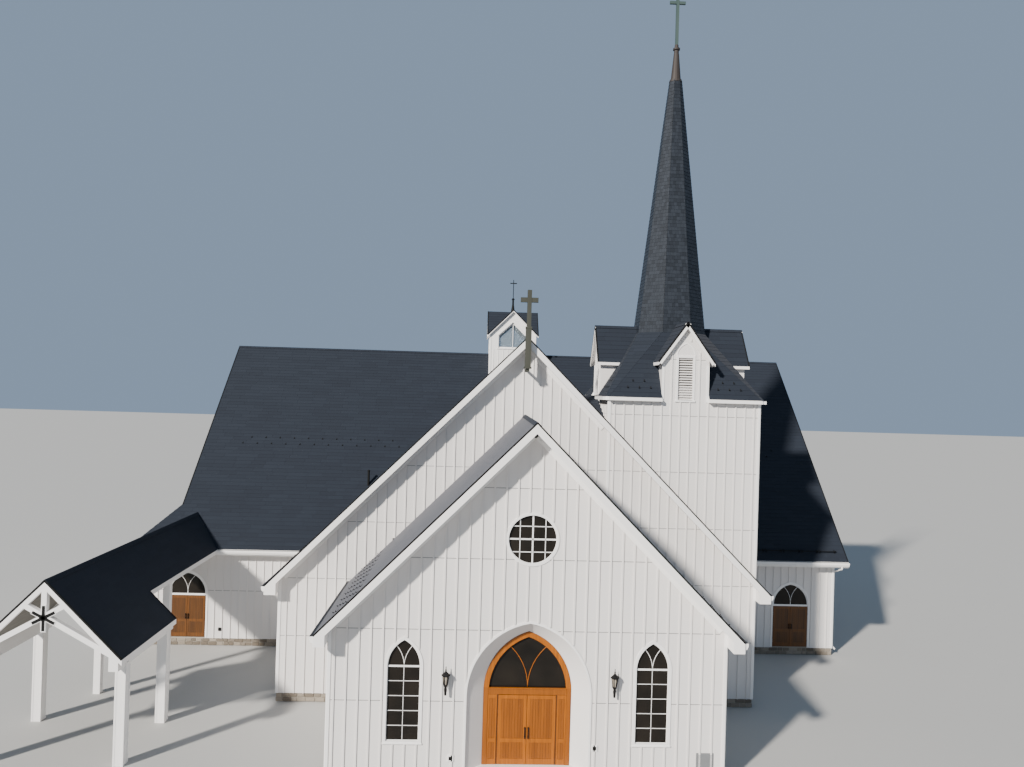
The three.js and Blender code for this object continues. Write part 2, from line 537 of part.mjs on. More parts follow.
add("tower_walls", "siding", join(
  cut(
    join(towerTube, cheeks),
    ...onSides(band(LOUVRE.half, LOUVRE.low, LOUVRE.high), inside - OVER, TOWER.half + OVER),
  ),
  ...[0, 1, 2, 3].flatMap(slatsOn),
));
const skirtInner = frustum(
  ringAt(inside, SKIRT.chamfer, TOWER.top - OVER), octagon(SPIRE.foot - SKIRT.lining, SKIRT.head + OVER),
);
const dormerEnd = TOWER.half + DORMER.rake;
const gutterEnd = TOWER.eave - SKIRT.chamfer;
const dormerRoofs = cut(
  join(...onSides(dormerOutline(DORMER.eave, 0, DORMER.eaveZ - DORMER.roof), DORMER.half, dormerEnd)),
  ...onSides(dormerOutline(DORMER.eave + OVER, DORMER.roof, 0), DORMER.half - OVER, dormerEnd + OVER),
);
const skirt = cut(
  join(
    cut(skirtSolid(0), skirtInner, ...onSides(band(DORMER.half + GAP, 0, FAR), inside - GAP, FAR)),
    dormerRoofs.subtract(skirtSolid(-SKIRT.lining / 2)),
    ...[-1, 1].flatMap((s) => onSides([
      [s * (DORMER.half + GAP), TOWER.top], [s * gutterEnd, TOWER.top],
      [s * gutterEnd, SKIRT.foot - GUTTER.lip], [s * (DORMER.half + GAP), SKIRT.foot - GUTTER.lip],
    ], TOWER.eave, TOWER.eave + GUTTER.deep)),
  ),
  spireSolid(GAP),
);
// four slopes mitred at the hips, each with its own dormer roof
const quarterReach = 2 * TOWER.half;
const miter = GAP / Math.SQRT2;
["front", "right", "rear", "left"].forEach((side, i) => {
  const quarter = prism("z", [
    [0, -miter], [-quarterReach, -quarterReach - miter], [quarterReach, -quarterReach - miter],
  ], 0, SPIRE.head).rotate([0, 0, 90 * i]).translate([tx, ty, 0]);
  add(`skirt_roof_${side}`, "roof", skirt.intersect(quarter));
});
add("spire", "slate", cut(
  spireSolid(0),
  frustum(
    octagon(SPIRE.foot - SPIRE.lining, SKIRT.head - OVER),
    octagon(SPIRE.hollow, SPIRE.head - SPIRE.solid),
  ),
));
const turned = (points, x, y, sides = 16) => {
  const rings = points.map(([r, z]) => Array.from({ length: sides }, (_, i) => {
    const turn = (2 * Math.PI * i) / sides;
    return [x + r * Math.cos(turn), y + r * Math.sin(turn), z];
  }));
  return join(...rings.slice(0, -1).map((ring, i) => frustum(ring, rings[i + 1])));
};
add("spire_cap", "copper", turned(SPIRE_CAP, tx, ty));
const uprightCross = ({ foot, top, stem, arm, armLow, armHigh, armHalf }, x, y) => join(
  box(x - stem, x + stem, y - stem, y + stem, foot, top),
  box(x - arm, x + arm, y - armHalf, y + armHalf, armLow, armHigh),
);
add("spire_cross", "verdigris", uprightCross(SPIRE_CROSS, tx, ty));
add("cricket", "roof", cut(
  prism("x", [
    [NAVE.front, CRICKET.ridge - CRICKET.fall * (ty - NAVE.front)], [ty, CRICKET.ridge],
    [ty + TOWER.half, CRICKET.ridge - CRICKET.fall * TOWER.half], [ty + TOWER.half, CRICKET.low],
    [NAVE.front, CRICKET.low],
  ], CRICKET.left, tx - TOWER.half),
  naveBelow(-GAP),
));

// cupola over the crossing
const rim = (half, z0, z1) => box(-half, half, CROSSING - half, CROSSING + half, z0, z1);
const crossGable = (reach, length, drop, low) => {
  const top = CUPOLA.apex - drop;
  const shape = (middle) => [
    [middle - reach, low], [middle + reach, low], [middle + reach, top - reach], [middle, top],
    [middle - reach, top - reach],
  ];
  return join(
    prism("y", shape(0), CROSSING - length, CROSSING + length), prism("x", shape(CROSSING), -length, length),
  );
};
const lantern = (middle) => [
  [middle - CUPOLA_WINDOW.half, CUPOLA_WINDOW.sill], [middle + CUPOLA_WINDOW.half, CUPOLA_WINDOW.sill],
  [middle + CUPOLA_WINDOW.half, CUPOLA_WINDOW.shoulder], [middle, CUPOLA_WINDOW.apex],
  [middle - CUPOLA_WINDOW.half, CUPOLA_WINDOW.shoulder],
];
const room = CUPOLA.half - CUPOLA.wall;
const verge = CUPOLA.eave + CUPOLA.rake;
add("cupola_walls", "trim", cut(
  crossGable(CUPOLA.half, CUPOLA.half, CUPOLA.roof + GAP, CUPOLA.foot),
  rim(room, 0, CUPOLA.ceiling),
  crossGable(room, room, CUPOLA.roof + WALL, CUPOLA_WINDOW.sill),
  prism("y", lantern(0), 0, FAR), prism("x", lantern(CROSSING), -FAR, FAR),
));
add("cupola_roof", "roof", cut(
  crossGable(CUPOLA.eave, verge, 0, CUPOLA.apex - CUPOLA.eave - CUPOLA.roof),
  crossGable(CUPOLA.eave + PAST, verge + PAST, CUPOLA.roof, CUPOLA.foot),
));
const paneFace = room - GAP;
add("cupola_glass", "glass", cut(
  crossGable(paneFace, paneFace, CUPOLA.roof + WALL + CUPOLA_WINDOW.play, CUPOLA_WINDOW.sill - PANE),
  rim(paneFace - PANE, 0, FAR),
));
add("cupola_finial", "bronze", join(
  turned(CUPOLA_FINIAL, 0, CROSSING, 12), uprightCross(CUPOLA_CROSS, 0, CROSSING),
).subtract(crossGable(CUPOLA.eave, verge, -GAP, CUPOLA.foot)));

// covered way before the left door
const wayBelow = (reach, drop, y0, y1) => prism("y", gable(CANOPY.x, reach, CANOPY.ridge - drop), y0, y1);
const above = (z) => box(-FAR, FAR, -FAR, FAR, z, FAR);
const wayRoof = (reach, y0, y1) =>
  wayBelow(reach, 0, y0, y1).intersect(above(CANOPY.ridge - reach - CANOPY.roof));
add("canopy_roof", "roof", cut(
  join(wayRoof(CANOPY.wide, CANOPY.front, CANOPY.step), wayRoof(CANOPY.narrow, CANOPY.step, CROSSING)),
  wayBelow(CANOPY.wide + PAST, CANOPY.roof, -FAR, FAR),
  transeptBelow(-GAP).intersect(box(-FAR, FAR, frontEave - GAP, FAR, 0, FAR)),
));
const bar = (x0, z0, x1, z1, deep, y0, y1) => {
  const length = Math.hypot(x1 - x0, z1 - z0);
  const [nx, nz] = [(-(z1 - z0) / length) * (deep / 2), ((x1 - x0) / length) * (deep / 2)];
  return prism("y", [
    [x0 - nx, z0 - nz], [x1 - nx, z1 - nz], [x1 + nx, z1 + nz], [x0 + nx, z0 + nz],
  ].map(([a, b]) => [CANOPY.x + a, b]), y0, y1);
};
const postAt = (x, y, wide) => box(x - wide / 2, x + wide / 2, y - wide / 2, y + wide / 2, 0, CANOPY.ridge);
// pair of posts at postY under two eave beams, with a scissor truss whose middle plane is at trussY
function bent(postY, trussY, beamFrom, beamTo) {
  const { reach, post, beam, beamLow, chord } = BENT;
  const y0 = trussY - chord / 2;
  const y1 = trussY + chord / 2;
  const top = CANOPY.ridge - CANOPY.roof - TRUSS.sink;
  const stand = [-1, 1].flatMap((s) => {
    const x = CANOPY.x + s * reach;
    return [
      postAt(x, postY, post),
      box(x - beam, x + beam, beamFrom, beamTo, beamLow, CANOPY.ridge),
      bar(s * reach, TRUSS.heel, -s * TRUSS.cross, TRUSS.top, chord, y0, y1),
      bar(s * (reach + beam), top - reach - beam, 0, top, TRUSS.rafter, y0, y1),
    ];
  });
  const king = box(CANOPY.x - chord / 2, CANOPY.x + chord / 2, y0, y1, TRUSS.kingLow, CANOPY.ridge);
  return join(...stand, king).intersect(wayBelow(reach + post / 2, CANOPY.roof + GAP, -FAR, FAR));
}
const beamSplit = (BENT.front + BENT.rear) / 2;
add("canopy_frame_front", "trim", bent(BENT.front, CANOPY.front + BENT.chord / 2, CANOPY.front, beamSplit));
add("canopy_frame_rear", "trim", bent(BENT.rear, BENT.rear, beamSplit + GAP, CANOPY.step));
add("walkway_frame", "trim", join(
  ...[-1, 1].map((s) => postAt(CANOPY.x + s * WALKWAY.reach, WALKWAY.y, WALKWAY.post)),
  bar(-WALKWAY.reach, WALKWAY.tie, WALKWAY.reach, WALKWAY.tie, WALKWAY.tieDeep,
    WALKWAY.y - WALKWAY.tieHalf, WALKWAY.y + WALKWAY.tieHalf),
).intersect(wayBelow(CANOPY.narrow, CANOPY.roof + GAP, -FAR, FAR)));

// stone foundation set back from the wall faces, with the floor and the step of the portal
const step = PORTAL.half - STONE.portal;
add("foundation", "stone", join(
  plan(STONE.inset, 0, SILL),
  cut(
    plan(STONE.inset, SILL, FLOOR), ...walls,
    box(-PORTAL.half - WALL, PORTAL.half + WALL, 0, PORTAL.depth, SILL, FLOOR),
  ),
  prism("z", [
    [-step, STONE.inset], [step, STONE.inset], [PORTAL.innerHalf - STONE.portal, PORTAL.depth],
    [STONE.portal - PORTAL.innerHalf, PORTAL.depth],
  ], SILL, FLOOR),
));

export default group;
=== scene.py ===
"""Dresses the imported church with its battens, shingles, slates, stones, windows and doors."""

import json
import math
import random
from collections import namedtuple

import bmesh
import bpy
from bpy.props import FloatProperty, FloatVectorProperty, PointerProperty
from mathutils import Matrix, Vector


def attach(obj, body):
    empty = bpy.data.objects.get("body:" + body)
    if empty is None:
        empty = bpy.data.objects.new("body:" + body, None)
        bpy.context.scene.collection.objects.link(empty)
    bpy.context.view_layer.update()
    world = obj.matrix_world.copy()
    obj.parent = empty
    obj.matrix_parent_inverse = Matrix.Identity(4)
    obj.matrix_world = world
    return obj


bl_info = {
    "name": "Church building",
    "version": (1, 0, 0),
    "blender": (4, 5, 0),
    "location": "View3D > Sidebar > Church",
    "description": "Board and batten church with shingled roofs, a slated spire and pointed windows",
    "category": "Object",
}

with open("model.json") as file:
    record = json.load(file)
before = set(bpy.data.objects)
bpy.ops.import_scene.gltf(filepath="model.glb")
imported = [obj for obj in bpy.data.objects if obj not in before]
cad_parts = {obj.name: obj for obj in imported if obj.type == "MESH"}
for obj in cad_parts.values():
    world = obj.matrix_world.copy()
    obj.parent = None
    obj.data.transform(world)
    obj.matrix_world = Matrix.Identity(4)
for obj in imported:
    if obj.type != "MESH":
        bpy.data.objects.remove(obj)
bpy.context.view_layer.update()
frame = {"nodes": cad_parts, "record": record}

# masses of the building in metres, ground level at z 0, entrance front towards -y
SILL = 0.37
ROOF = 0.3
FRONT = -18.0
RIDGE = 15.7
CROSSING = 5.78
NARTHEX = {"half": 6.85, "eave": 7.235, "apex": 12.39, "rake": -18.71, "back": -11.32}
NAVE = {"half": 10.22, "eave": 10.7, "front": -11.32, "rake": -11.89}
TRANSEPT = {"front": -4.42, "rear": 15.98, "side": 16.9, "verge": 17.43, "eave": 10.7}
LEAN = {"side": 18.85, "eave": 19.33}
TOWER = {"x": 6.9, "y": -8.0, "half": 3.32, "eave": 3.45, "top": 13.15}
SKIRT = {"foot": 13.3, "head": 16.3, "chamfer": 0.12}
SPIRE = {"foot": 1.56, "tip": 0.27, "head": 28.36}
DORMER = {"half": 1.03, "eave": 1.24, "eave_z": 14.85, "apex": 16.6, "front": 3.52}
LOUVRE = {"half": 0.32, "low": 13.23, "high": 15.07, "board": 0.09, "sill": 0.08}
CUPOLA = {
    "half": 1.46, "eave": 1.6, "apex": 18.45, "glass": 0.9, "sill": 16.05, "shoulder": 16.82, "peak": 17.66,
}
CRICKET = {"left": 2.4, "ridge": 13.3, "fall": 0.404}
CANOPY = {
    "x": -16.5, "ridge": 6.55, "wide": 2.65, "narrow": 1.58, "front": -17.65, "step": -12.9, "roof": 0.2,
}
FLOOR = 0.42

Arch = namedtuple("Arch", "middle half low spring apex")
LANCETS = [Arch(x, 0.56, 1.43, 3.96, 4.87) for x in (-4.27, 4.27)]
REAR_LANCETS = [Arch(x, 0.56, 1.43, 3.69, 4.60) for x in (-12, -6, 0, 6, 12)]
GABLE_LANCETS = [
    Arch(CROSSING + y, 0.56, 1.43, 3.96 + up, 4.87 + up) for y, up in ((-4.5, 0), (0, 1.5), (4.5, 0))
]
PORTAL = Arch(0, 2.12, FLOOR, 3.0, 5.51)
PORTAL_BACK = Arch(0, 1.54, FLOOR, 3.0, 5.08)
PORTAL_DEPTH = 0.5
MAIN_FANLIGHT = Arch(0, 1.43, 3.1, 3.12, 4.95)
SIDE_DOORS = {"left": Arch(-16.5, 0.92, FLOOR, 2.63, 3.7), "right": Arch(14.62, 0.92, FLOOR, 2.63, 3.7)}
SIDE_BAR = (2.54, 2.63)
ROUND = {"z": 8.37, "radius": 0.83, "bars": 0.44}
QUARTER = math.pi / 4
DORMER_PITCH = math.atan2(DORMER["apex"] - DORMER["eave_z"], DORMER["eave"])
DORMER_RISE = math.tan(DORMER_PITCH)
OCTAGON = math.tan(math.pi / 8)

# doors: how far their dressing stands before the leaves, the edges of the main door's pieces, the tops of the
# side doors' leaves, the rail at the lock and the foot of the pulls
SEAT = 0.0004
MAIN_DOOR = {
    "leaf": 1.0, "top": 2.845, "light": (1.055, 1.365), "light_top": 2.86, "board": (1.37, 1.525),
    "bar": (2.87, 3.09), "crown": (3.06, 3.11), "head": 3.1,
}
SIDE_DOOR_TOP = 2.525
LOCK_RAIL = (1.2, 1.34)
PULL_FOOT = 1.35

# lanterns: their places, and radii and heights of their parts above a point before the wall
LANTERN = {
    "x": (-2.83, 2.93), "out": 0.2, "foot": 3.06,
    "cap": ((0, 1.0), (0.014, 0.98), (0.014, 0.9), (0.034, 0.87), (0.018, 0.84), (0.06, 0.79), (0.15, 0.71),
            (0.15, 0.68), (0, 0.68)),
    "base": ((0, 0.0), (0.04, 0.02), (0.045, 0.14), (0.055, 0.2), (0.045, 0.28), (0.07, 0.36), (0.07, 0.38),
             (0, 0.38)),
    "panes": ((0, 0.38), (0.05, 0.38), (0.094, 0.68), (0, 0.68)),
    "ribs": ((0.062, 0.37), (0.108, 0.69)),
    "plate": (3.34, 3.7), "arms": ((3.44, 0.2, 3.2, 0.014), (3.62, 0.12, 3.78, 0.012)),
}

# other fittings: middles of the two boxes on the front wall and of the one beside the covered way, grille,
# vent pipe, posts, truss plate and bracket of the canopy, and snow rail
BOXES = ((-2.6, 0.87), (2.32, 1.26))
SIDE_BOX = (-14.83, 0.84)
GRILLE = {"u": (5.86, 6.47), "v": (0.5, 1.13), "slats": 14}
VENT = (-7.9, -1.9)
POSTS = {"reach": 2.37, "half": 0.175, "y": (-16.9, -13.38), "top": 3.4}
PLATE = {"height": 5.29, "half": 0.052, "rim": 0.024, "low": -0.45, "high": 0.41, "arm": 0.42}
BRACKET = {"y": (-17.06, -16.98), "z": (3.62, 3.72)}
RAIL = {"start": 12.2, "pitch": 0.95, "bar": 0.9, "heights": (0.09, 0.16)}

# thickness of the boards on a wall and of a casing, levels of the panes behind the walls, how far boards stop
# below and above a roof that meets them, and the usual softness of an edge
BOARD = 0.026
CASE = 0.03
FRONT_GLASS = -0.06
SIDE_GLASS = -0.2
UNDER, OVER = 0.06, 0.03
SOFT = 0.003

# camera before the raised front view, and the light
CAMERA = {"place": (-1.95, -44.639, 13.535), "yaw": -2.3105, "pitch": 0.34, "roll": 1.6972, "lens": 27.342}
SUN = {"azimuth": -41.0, "height": 30.0, "power": 8.3, "spread": 3.0, "tint": (1.0, 0.95, 0.88)}
SKY = {"tint": (0.54, 0.73, 1.0, 1), "strength": 0.45}
FLOOR_REACH = 260.0


def length(name, about, default):
    """Property for a length in metres."""
    return FloatProperty(
        name=name, description=about, default=default, min=0.001, unit="LENGTH", subtype="DISTANCE")


def linear(channel):
    """Linear value of a screen colour channel from 0 to 255."""
    value = channel / 255
    return value / 12.92 if value <= 0.04045 else ((value + 0.055) / 1.055) ** 2.4


def colour(name, about, *channels):
    """Property for a colour, from screen channels."""
    return FloatVectorProperty(
        name=name, description=about, default=tuple(linear(c) for c in channels), size=3,
        min=0.0, max=1.0, subtype="COLOR",
    )


class ChurchSizes(bpy.types.PropertyGroup):
    """Sizes of the boards, coverings and bars."""

    batten_pitch: length("Batten pitch", "Distance between the battens of the siding", 0.4064)
    batten_width: length("Batten width", "Width of a batten", 0.06)
    batten_depth: length("Batten depth", "How far a batten stands out of the boards", 0.036)
    batten_phase: length("Batten start", "Distance of a batten from the middle line of the front", 0.285)
    band_first: length("First flashing", "Height of the lowest flashing between panels", 2.787)
    band_pitch: length("Flashing pitch", "Height of a panel between two flashings", 2.438)
    band_width: length("Flashing width", "Height of the strip of a flashing that shows", 0.018)
    corner_board: length("Corner board", "Width of the board on each corner", 0.11)
    frieze: length("Frieze board", "Width of the board under a rake", 0.19)
    shingle_exposure: length("Shingle exposure", "Part of a shingle course that shows", 0.25)
    shingle_width: length("Shingle width", "Width of a shingle strip", 0.95)
    shingle_thickness: length("Shingle thickness", "Thickness of a shingle", 0.009)
    canopy_shingle: length("Canopy shingle", "Thickness of a shingle on the canopy", 0.004)
    slate_exposure: length("Slate exposure", "Part of a slate course that shows", 0.17)
    slate_width: length("Slate width", "Width of a slate", 0.15)
    slate_thickness: length("Slate thickness", "Thickness of a slate", 0.009)
    casing: length("Casing", "Width of the boards round a window", 0.1)
    muntin: length("Muntin", "Width of a thin window bar", 0.017)
    transom: length("Transom", "Width of a thick window bar", 0.055)
    plank: length("Plank", "Width of a door plank", 0.1)
    stone: length("Stone", "Length of a foundation stone", 0.36)


class ChurchColours(bpy.types.PropertyGroup):
    """Colours of the finishes."""

    siding: colour("Siding", "Paint of the boards and battens", 226, 222, 219)
    trim: colour("Trim", "Paint of the casings, rakes and gutters", 240, 238, 236)
    flashing: colour("Flashing", "Strips between the panels", 116, 116, 118)
    shingle: colour("Shingles", "Asphalt shingles of the roofs", 34, 40, 50)
    shingle_dark: colour("Dark shingles", "Darkest shingles of a roof", 20, 25, 33)
    slate: colour("Slate", "Light slates of the spire", 44, 49, 57)
    slate_dark: colour("Dark slate", "Dark slates of the spire", 18, 22, 28)
    metal: colour("Dark metal", "Drip edges, lanterns and plates", 7, 7, 8)
    grey_metal: colour("Grey metal", "Grilles, vents and brackets", 140, 142, 144)
    oak: colour("Oak", "Light wood of the main door", 164, 90, 0)
    oak_dark: colour("Dark oak", "Grain of the main door", 104, 54, 0)
    walnut: colour("Walnut", "Wood of the side doors", 108, 62, 0)
    walnut_dark: colour("Dark walnut", "Grain of the side doors", 54, 30, 0)
    soffit: colour("Soffit", "Boards under the canopy", 128, 124, 116)
    soffit_dark: colour("Dark soffit", "Grain of the boards under the canopy", 92, 88, 80)
    stone: colour("Stone", "Light stones of the foundation", 166, 156, 142)
    stone_dark: colour("Dark stone", "Dark stones of the foundation", 106, 96, 84)
    mortar: colour("Mortar", "Mortar and bare floor", 150, 143, 132)
    copper: colour("Copper", "Cap of the spire", 28, 16, 14)
    bronze: colour("Bronze", "Cross on the gable", 38, 42, 32)
    verdigris: colour("Verdigris", "Cross on the spire", 52, 74, 72)
    # the panes are opaque and dark: painted shade of the unlit inside behind them
    glass: colour("Glass", "Dark panes", 12, 12, 12)
    lamp: colour("Lamp glass", "Panes of the lanterns", 170, 160, 144)
    floor: colour("Studio floor", "Floor of the studio", 168, 167, 164)


def sizes():
    return bpy.context.scene.church_sizes


def paint(name):
    """Colour of a finish with its alpha."""
    return (*getattr(bpy.context.scene.church_colours, name), 1.0)


# shapes on flat faces

def plane(origin, along, up):
    """Frame of a flat face: first axis along it, second up it, third out of it."""
    along = Vector(along).normalized()
    up = Vector(up).normalized()
    turn = Matrix((along, up, along.cross(up))).transposed().to_4x4()
    return Matrix.Translation(origin) @ turn


def facing_front(y):
    return plane((0, y, 0), (1, 0, 0), (0, 0, 1))


def facing_rear(y):
    return plane((0, y, 0), (-1, 0, 0), (0, 0, 1))


def facing_right(x):
    return plane((x, 0, 0), (0, 1, 0), (0, 0, 1))


def facing_left(x):
    return plane((x, 0, 0), (0, -1, 0), (0, 0, 1))


def slope(point, facing, pitch=QUARTER):
    """Frame of a roof slope through a point of its eave, from the way that it faces and its pitch."""
    away = Vector((*facing, 0.0)).normalized()
    up = -away * math.cos(pitch) + Vector((0, 0, math.sin(pitch)))
    out = away * math.sin(pitch) + Vector((0, 0, math.cos(pitch)))
    return plane(point, up.cross(out), up)


def side_slope(x, half, ridge, side):
    """Frame of the left or right slope of a roof over x, from its half width and the height of its ridge."""
    return slope((x + side * half, 0, ridge - half), (side, 0))


def transept_slope(side):
    """Frame of the front or rear slope of the transept."""
    return slope((0, CROSSING + side * TRANSEPT["eave"], RIDGE - TRANSEPT["eave"]), (0, side))


def shell():
    """Empty mesh whose points carry a shade."""
    bm = bmesh.new()
    bm.verts.layers.float.new("shade")
    return bm


def pour(target, source):
    """Adds one bmesh to another and frees it."""
    mesh = bpy.data.meshes.new("pour")
    source.to_mesh(mesh)
    source.free()
    target.from_mesh(mesh)
    bpy.data.meshes.remove(mesh)


def block(bm, place, u, v, n, shade=0.5, lean=0.0):
    """Box between two places along, up and out of a face."""
    size = Vector((u[1] - u[0], v[1] - v[0], n[1] - n[0]))
    middle = Vector((u[0] + u[1], v[0] + v[1], n[0] + n[1])) / 2
    spot = place @ Matrix.Translation(middle) @ Matrix.Rotation(lean, 4, "X") @ Matrix.Diagonal((*size, 1.0))
    verts = bmesh.ops.create_cube(bm, size=1.0, matrix=spot)["verts"]
    layer = bm.verts.layers.float.get("shade")
    if layer:
        for vert in verts:
            vert[layer] = shade
    return verts


def rod(bm, start, end, radius, sides=12):
    """Round bar between two points."""
    start, end = Vector(start), Vector(end)
    turn = (end - start).to_track_quat("Z", "Y").to_matrix().to_4x4()
    bmesh.ops.create_cone(
        bm, cap_ends=True, segments=sides, radius1=radius, radius2=radius, depth=(end - start).length,
        matrix=Matrix.Translation((start + end) / 2) @ turn,
    )


def lathe(origin, profile, sides=16):
    """Round form spun from a profile of radii and heights above an origin."""
    bm = shell()
    spot = Matrix.Translation(origin)
    chain = [bm.verts.new(spot @ Vector((r, 0, z))) for r, z in profile]
    for a, b in zip(chain, chain[1:]):
        bm.edges.new((a, b))
    bmesh.ops.spin(
        bm, geom=bm.verts[:] + bm.edges[:], cent=Vector(origin), axis=(0, 0, 1),
        angle=2 * math.pi, steps=sides, use_merge=True,
    )
    bmesh.ops.remove_doubles(bm, verts=bm.verts[:], dist=1e-4)
    bmesh.ops.recalc_face_normals(bm, faces=bm.faces[:])
    return bm


def ease(bm, offset, segments=1):
    """Takes the sharpness off the edges that turn a corner."""
    sharp = [edge for edge in bm.edges if len(edge.link_faces) == 2 and edge.calc_face_angle() > 0.6]
    bmesh.ops.bevel(
        bm, geom=sharp, offset=offset, segments=segments, affect="EDGES", profile=0.5, material=-1,
        clamp_overlap=True,
    )


def thicken(bm, place, depth):
    """Gives flat faces their thickness, out of the face that they lie on."""
    made = bmesh.ops.extrude_face_region(bm, geom=bm.faces[:])["geom"]
    verts = [g for g in made if isinstance(g, bmesh.types.BMVert)]
    bmesh.ops.translate(bm, verts=verts, vec=place.col[2].xyz * depth)
    bmesh.ops.recalc_face_normals(bm, faces=bm.faces[:])


def finish(name, bm, material, body="root", soft=0.0):
    """Makes a piece of a bmesh with softened edges, gives it its finish and lets it ride its body."""
    if soft:
        ease(bm, soft)
    mesh = bpy.data.meshes.new(name)
    bm.to_mesh(mesh)
    bm.free()
    piece = bpy.data.objects.new(name, mesh)
    bpy.context.scene.collection.objects.link(piece)
    mesh.materials.append(bpy.data.materials[material])
    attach(piece, body)


def saw(bm, spot, away):
    """Cuts away what lies beyond a plane and closes the cut."""
    cut = bmesh.ops.bisect_plane(
        bm, geom=bm.verts[:] + bm.edges[:] + bm.faces[:], dist=1e-6, plane_co=spot, plane_no=away,
        clear_outer=True,
    )["geom_cut"]
    rims = [g for g in cut if isinstance(g, bmesh.types.BMEdge)]
    if rims:
        bmesh.ops.edgeloop_fill(bm, edges=rims)


# pointed and round openings

def radius_of(arch):
    rise = arch.apex - arch.spring
    return (arch.half ** 2 + rise ** 2) / (2 * arch.half)


def arch_span(arch, grow, u):
    """Lowest and highest place of a grown opening on the upright at u, or None beside it."""
    away = abs(u - arch.middle)
    if away >= arch.half + grow:
        return None
    radius = radius_of(arch)
    rise = math.sqrt(max((radius + grow) ** 2 - (away + radius - arch.half) ** 2, 0.0))
    return arch.low - grow, arch.spring + rise


def round_span(radius, u):
    if abs(u) >= radius:
        return None
    reach = math.sqrt(radius ** 2 - u ** 2)
    return ROUND["z"] - reach, ROUND["z"] + reach


def arch_loop(bm, place, arch, grow, level, steps=14):
    """Closed line round a grown opening, with both arcs spun from their springing points."""
    radius = radius_of(arch)
    turn = math.acos((radius - arch.half) / (radius + grow))
    for side in (-1, 1):
        edge = arch.middle + side * (arch.half + grow)
        spots = ((arch.middle, arch.low - grow), (edge, arch.low - grow), (edge, arch.spring))
        chain = [bm.verts.new(place @ Vector((u, v, level))) for u, v in spots]
        for a, b in zip(chain, chain[1:]):
            bm.edges.new((a, b))
        centre = place @ Vector((arch.middle + side * (arch.half - radius), arch.spring, level))
        bmesh.ops.spin(
            bm, geom=[chain[-1]], cent=centre, axis=place.col[2].xyz, angle=side * turn, steps=steps,
        )
    bmesh.ops.remove_doubles(bm, verts=bm.verts[:], dist=5e-4)


def arch_ring(place, arch, outer, inner, low, high):
    """Flat frame between two outlines of a pointed opening."""
    bm = shell()
    arch_loop(bm, place, arch, outer, low)
    arch_loop(bm, place, arch, inner, low)
    bmesh.ops.bridge_loops(bm, edges=bm.edges[:])
    thicken(bm, place, high - low)
    return bm


def round_ring(place, centre, outer, inner, low, high):
    """Flat frame between two circles."""
    bm = shell()
    spot = place @ Matrix.Translation((*centre, low))
    for radius in (outer, inner):
        bmesh.ops.create_circle(bm, cap_ends=False, segments=40, radius=radius, matrix=spot)
    bmesh.ops.bridge_loops(bm, edges=bm.edges[:])
    thicken(bm, place, high - low)
    return bm


def curved_bar(place, centre, radius, start, turn, width, low, high):
    """Bar bent along an arc on a face, spun from its square end."""
    bm = shell()
    end = place @ Matrix.Translation((*centre, 0)) @ Matrix.Rotation(start, 4, "Z")
    end = end @ Matrix.Translation((radius, 0, (low + high) / 2)) @ Matrix.Rotation(math.pi / 2, 4, "X")
    bmesh.ops.create_grid(
        bm, x_segments=1, y_segments=1, size=0.5, matrix=end @ Matrix.Diagonal((width, high - low, 1, 1)))
    bmesh.ops.spin(
        bm, geom=bm.verts[:] + bm.edges[:] + bm.faces[:], cent=place @ Vector((*centre, 0)),
        axis=place.col[2].xyz, angle=turn, steps=8,
    )
    bmesh.ops.recalc_face_normals(bm, faces=bm.faces[:])
    return bm


def tracery(bm, place, arch, grow, foot, width, low, high):
    """Two arcs that part from the middle of an arched head and run to its sides."""
    radius = radius_of(arch) + grow
    half = arch.half + grow
    swing = math.acos((radius - half / 2) / radius)
    for side in (-1, 1):
        centre = (arch.middle + side * radius, foot)
        start = math.pi if side > 0 else 0.0
        pour(bm, curved_bar(place, centre, radius, start, -side * swing, width, low, high))


def lattice(bm, place, arch, levels, glass, muntin, transom):
    """Bars of a pointed window: levels, a transom at the springing, an upright and tracery above."""
    inner = (arch.middle - arch.half, arch.middle + arch.half)
    for level in levels:
        block(bm, place, inner, (level - muntin / 2, level + muntin / 2), (glass, glass + muntin))
    thick = (arch.spring - transom / 2, arch.spring + transom / 2)
    block(bm, place, inner, thick, (glass, glass + CASE))
    upright = (arch.middle - muntin / 2, arch.middle + muntin / 2)
    block(bm, place, upright, (arch.low, arch.spring), (glass, glass + muntin))
    tracery(bm, place, arch, 0.0, arch.spring, muntin, glass, glass + muntin)


def dress_window(bm, place, arch, glass):
    """Casing, sill, sash and bars of a pointed window whose pane lies at a level behind the wall."""
    size = sizes()
    pour(bm, arch_ring(place, arch, size.casing, 0.0, 0.0, CASE))
    pour(bm, arch_ring(place, arch, 0.0, -0.02, glass, glass + CASE))
    sill = arch.half + size.casing + 0.02
    block(bm, place, (arch.middle - sill, arch.middle + sill), (arch.low - 0.1, arch.low - 0.06), (0.0, 0.05))
    rise = (arch.spring - arch.low) / 5
    levels = [arch.low + rise * k for k in range(1, 5)]
    lattice(bm, place, arch, levels, glass, size.muntin, size.transom)


# wall covering

def clear_parts(u, bottom, top, holes):
    """Stretches of the upright at u that are wall and not an opening."""
    parts = [(bottom(u), top(u))]
    for hole in holes:
        gap = hole(u)
        if gap:
            parts = [
                part for low, high in parts for part in ((low, min(high, gap[0])), (max(low, gap[1]), high))
            ]
    return [(low, high) for low, high in parts if high - low > 0.05]


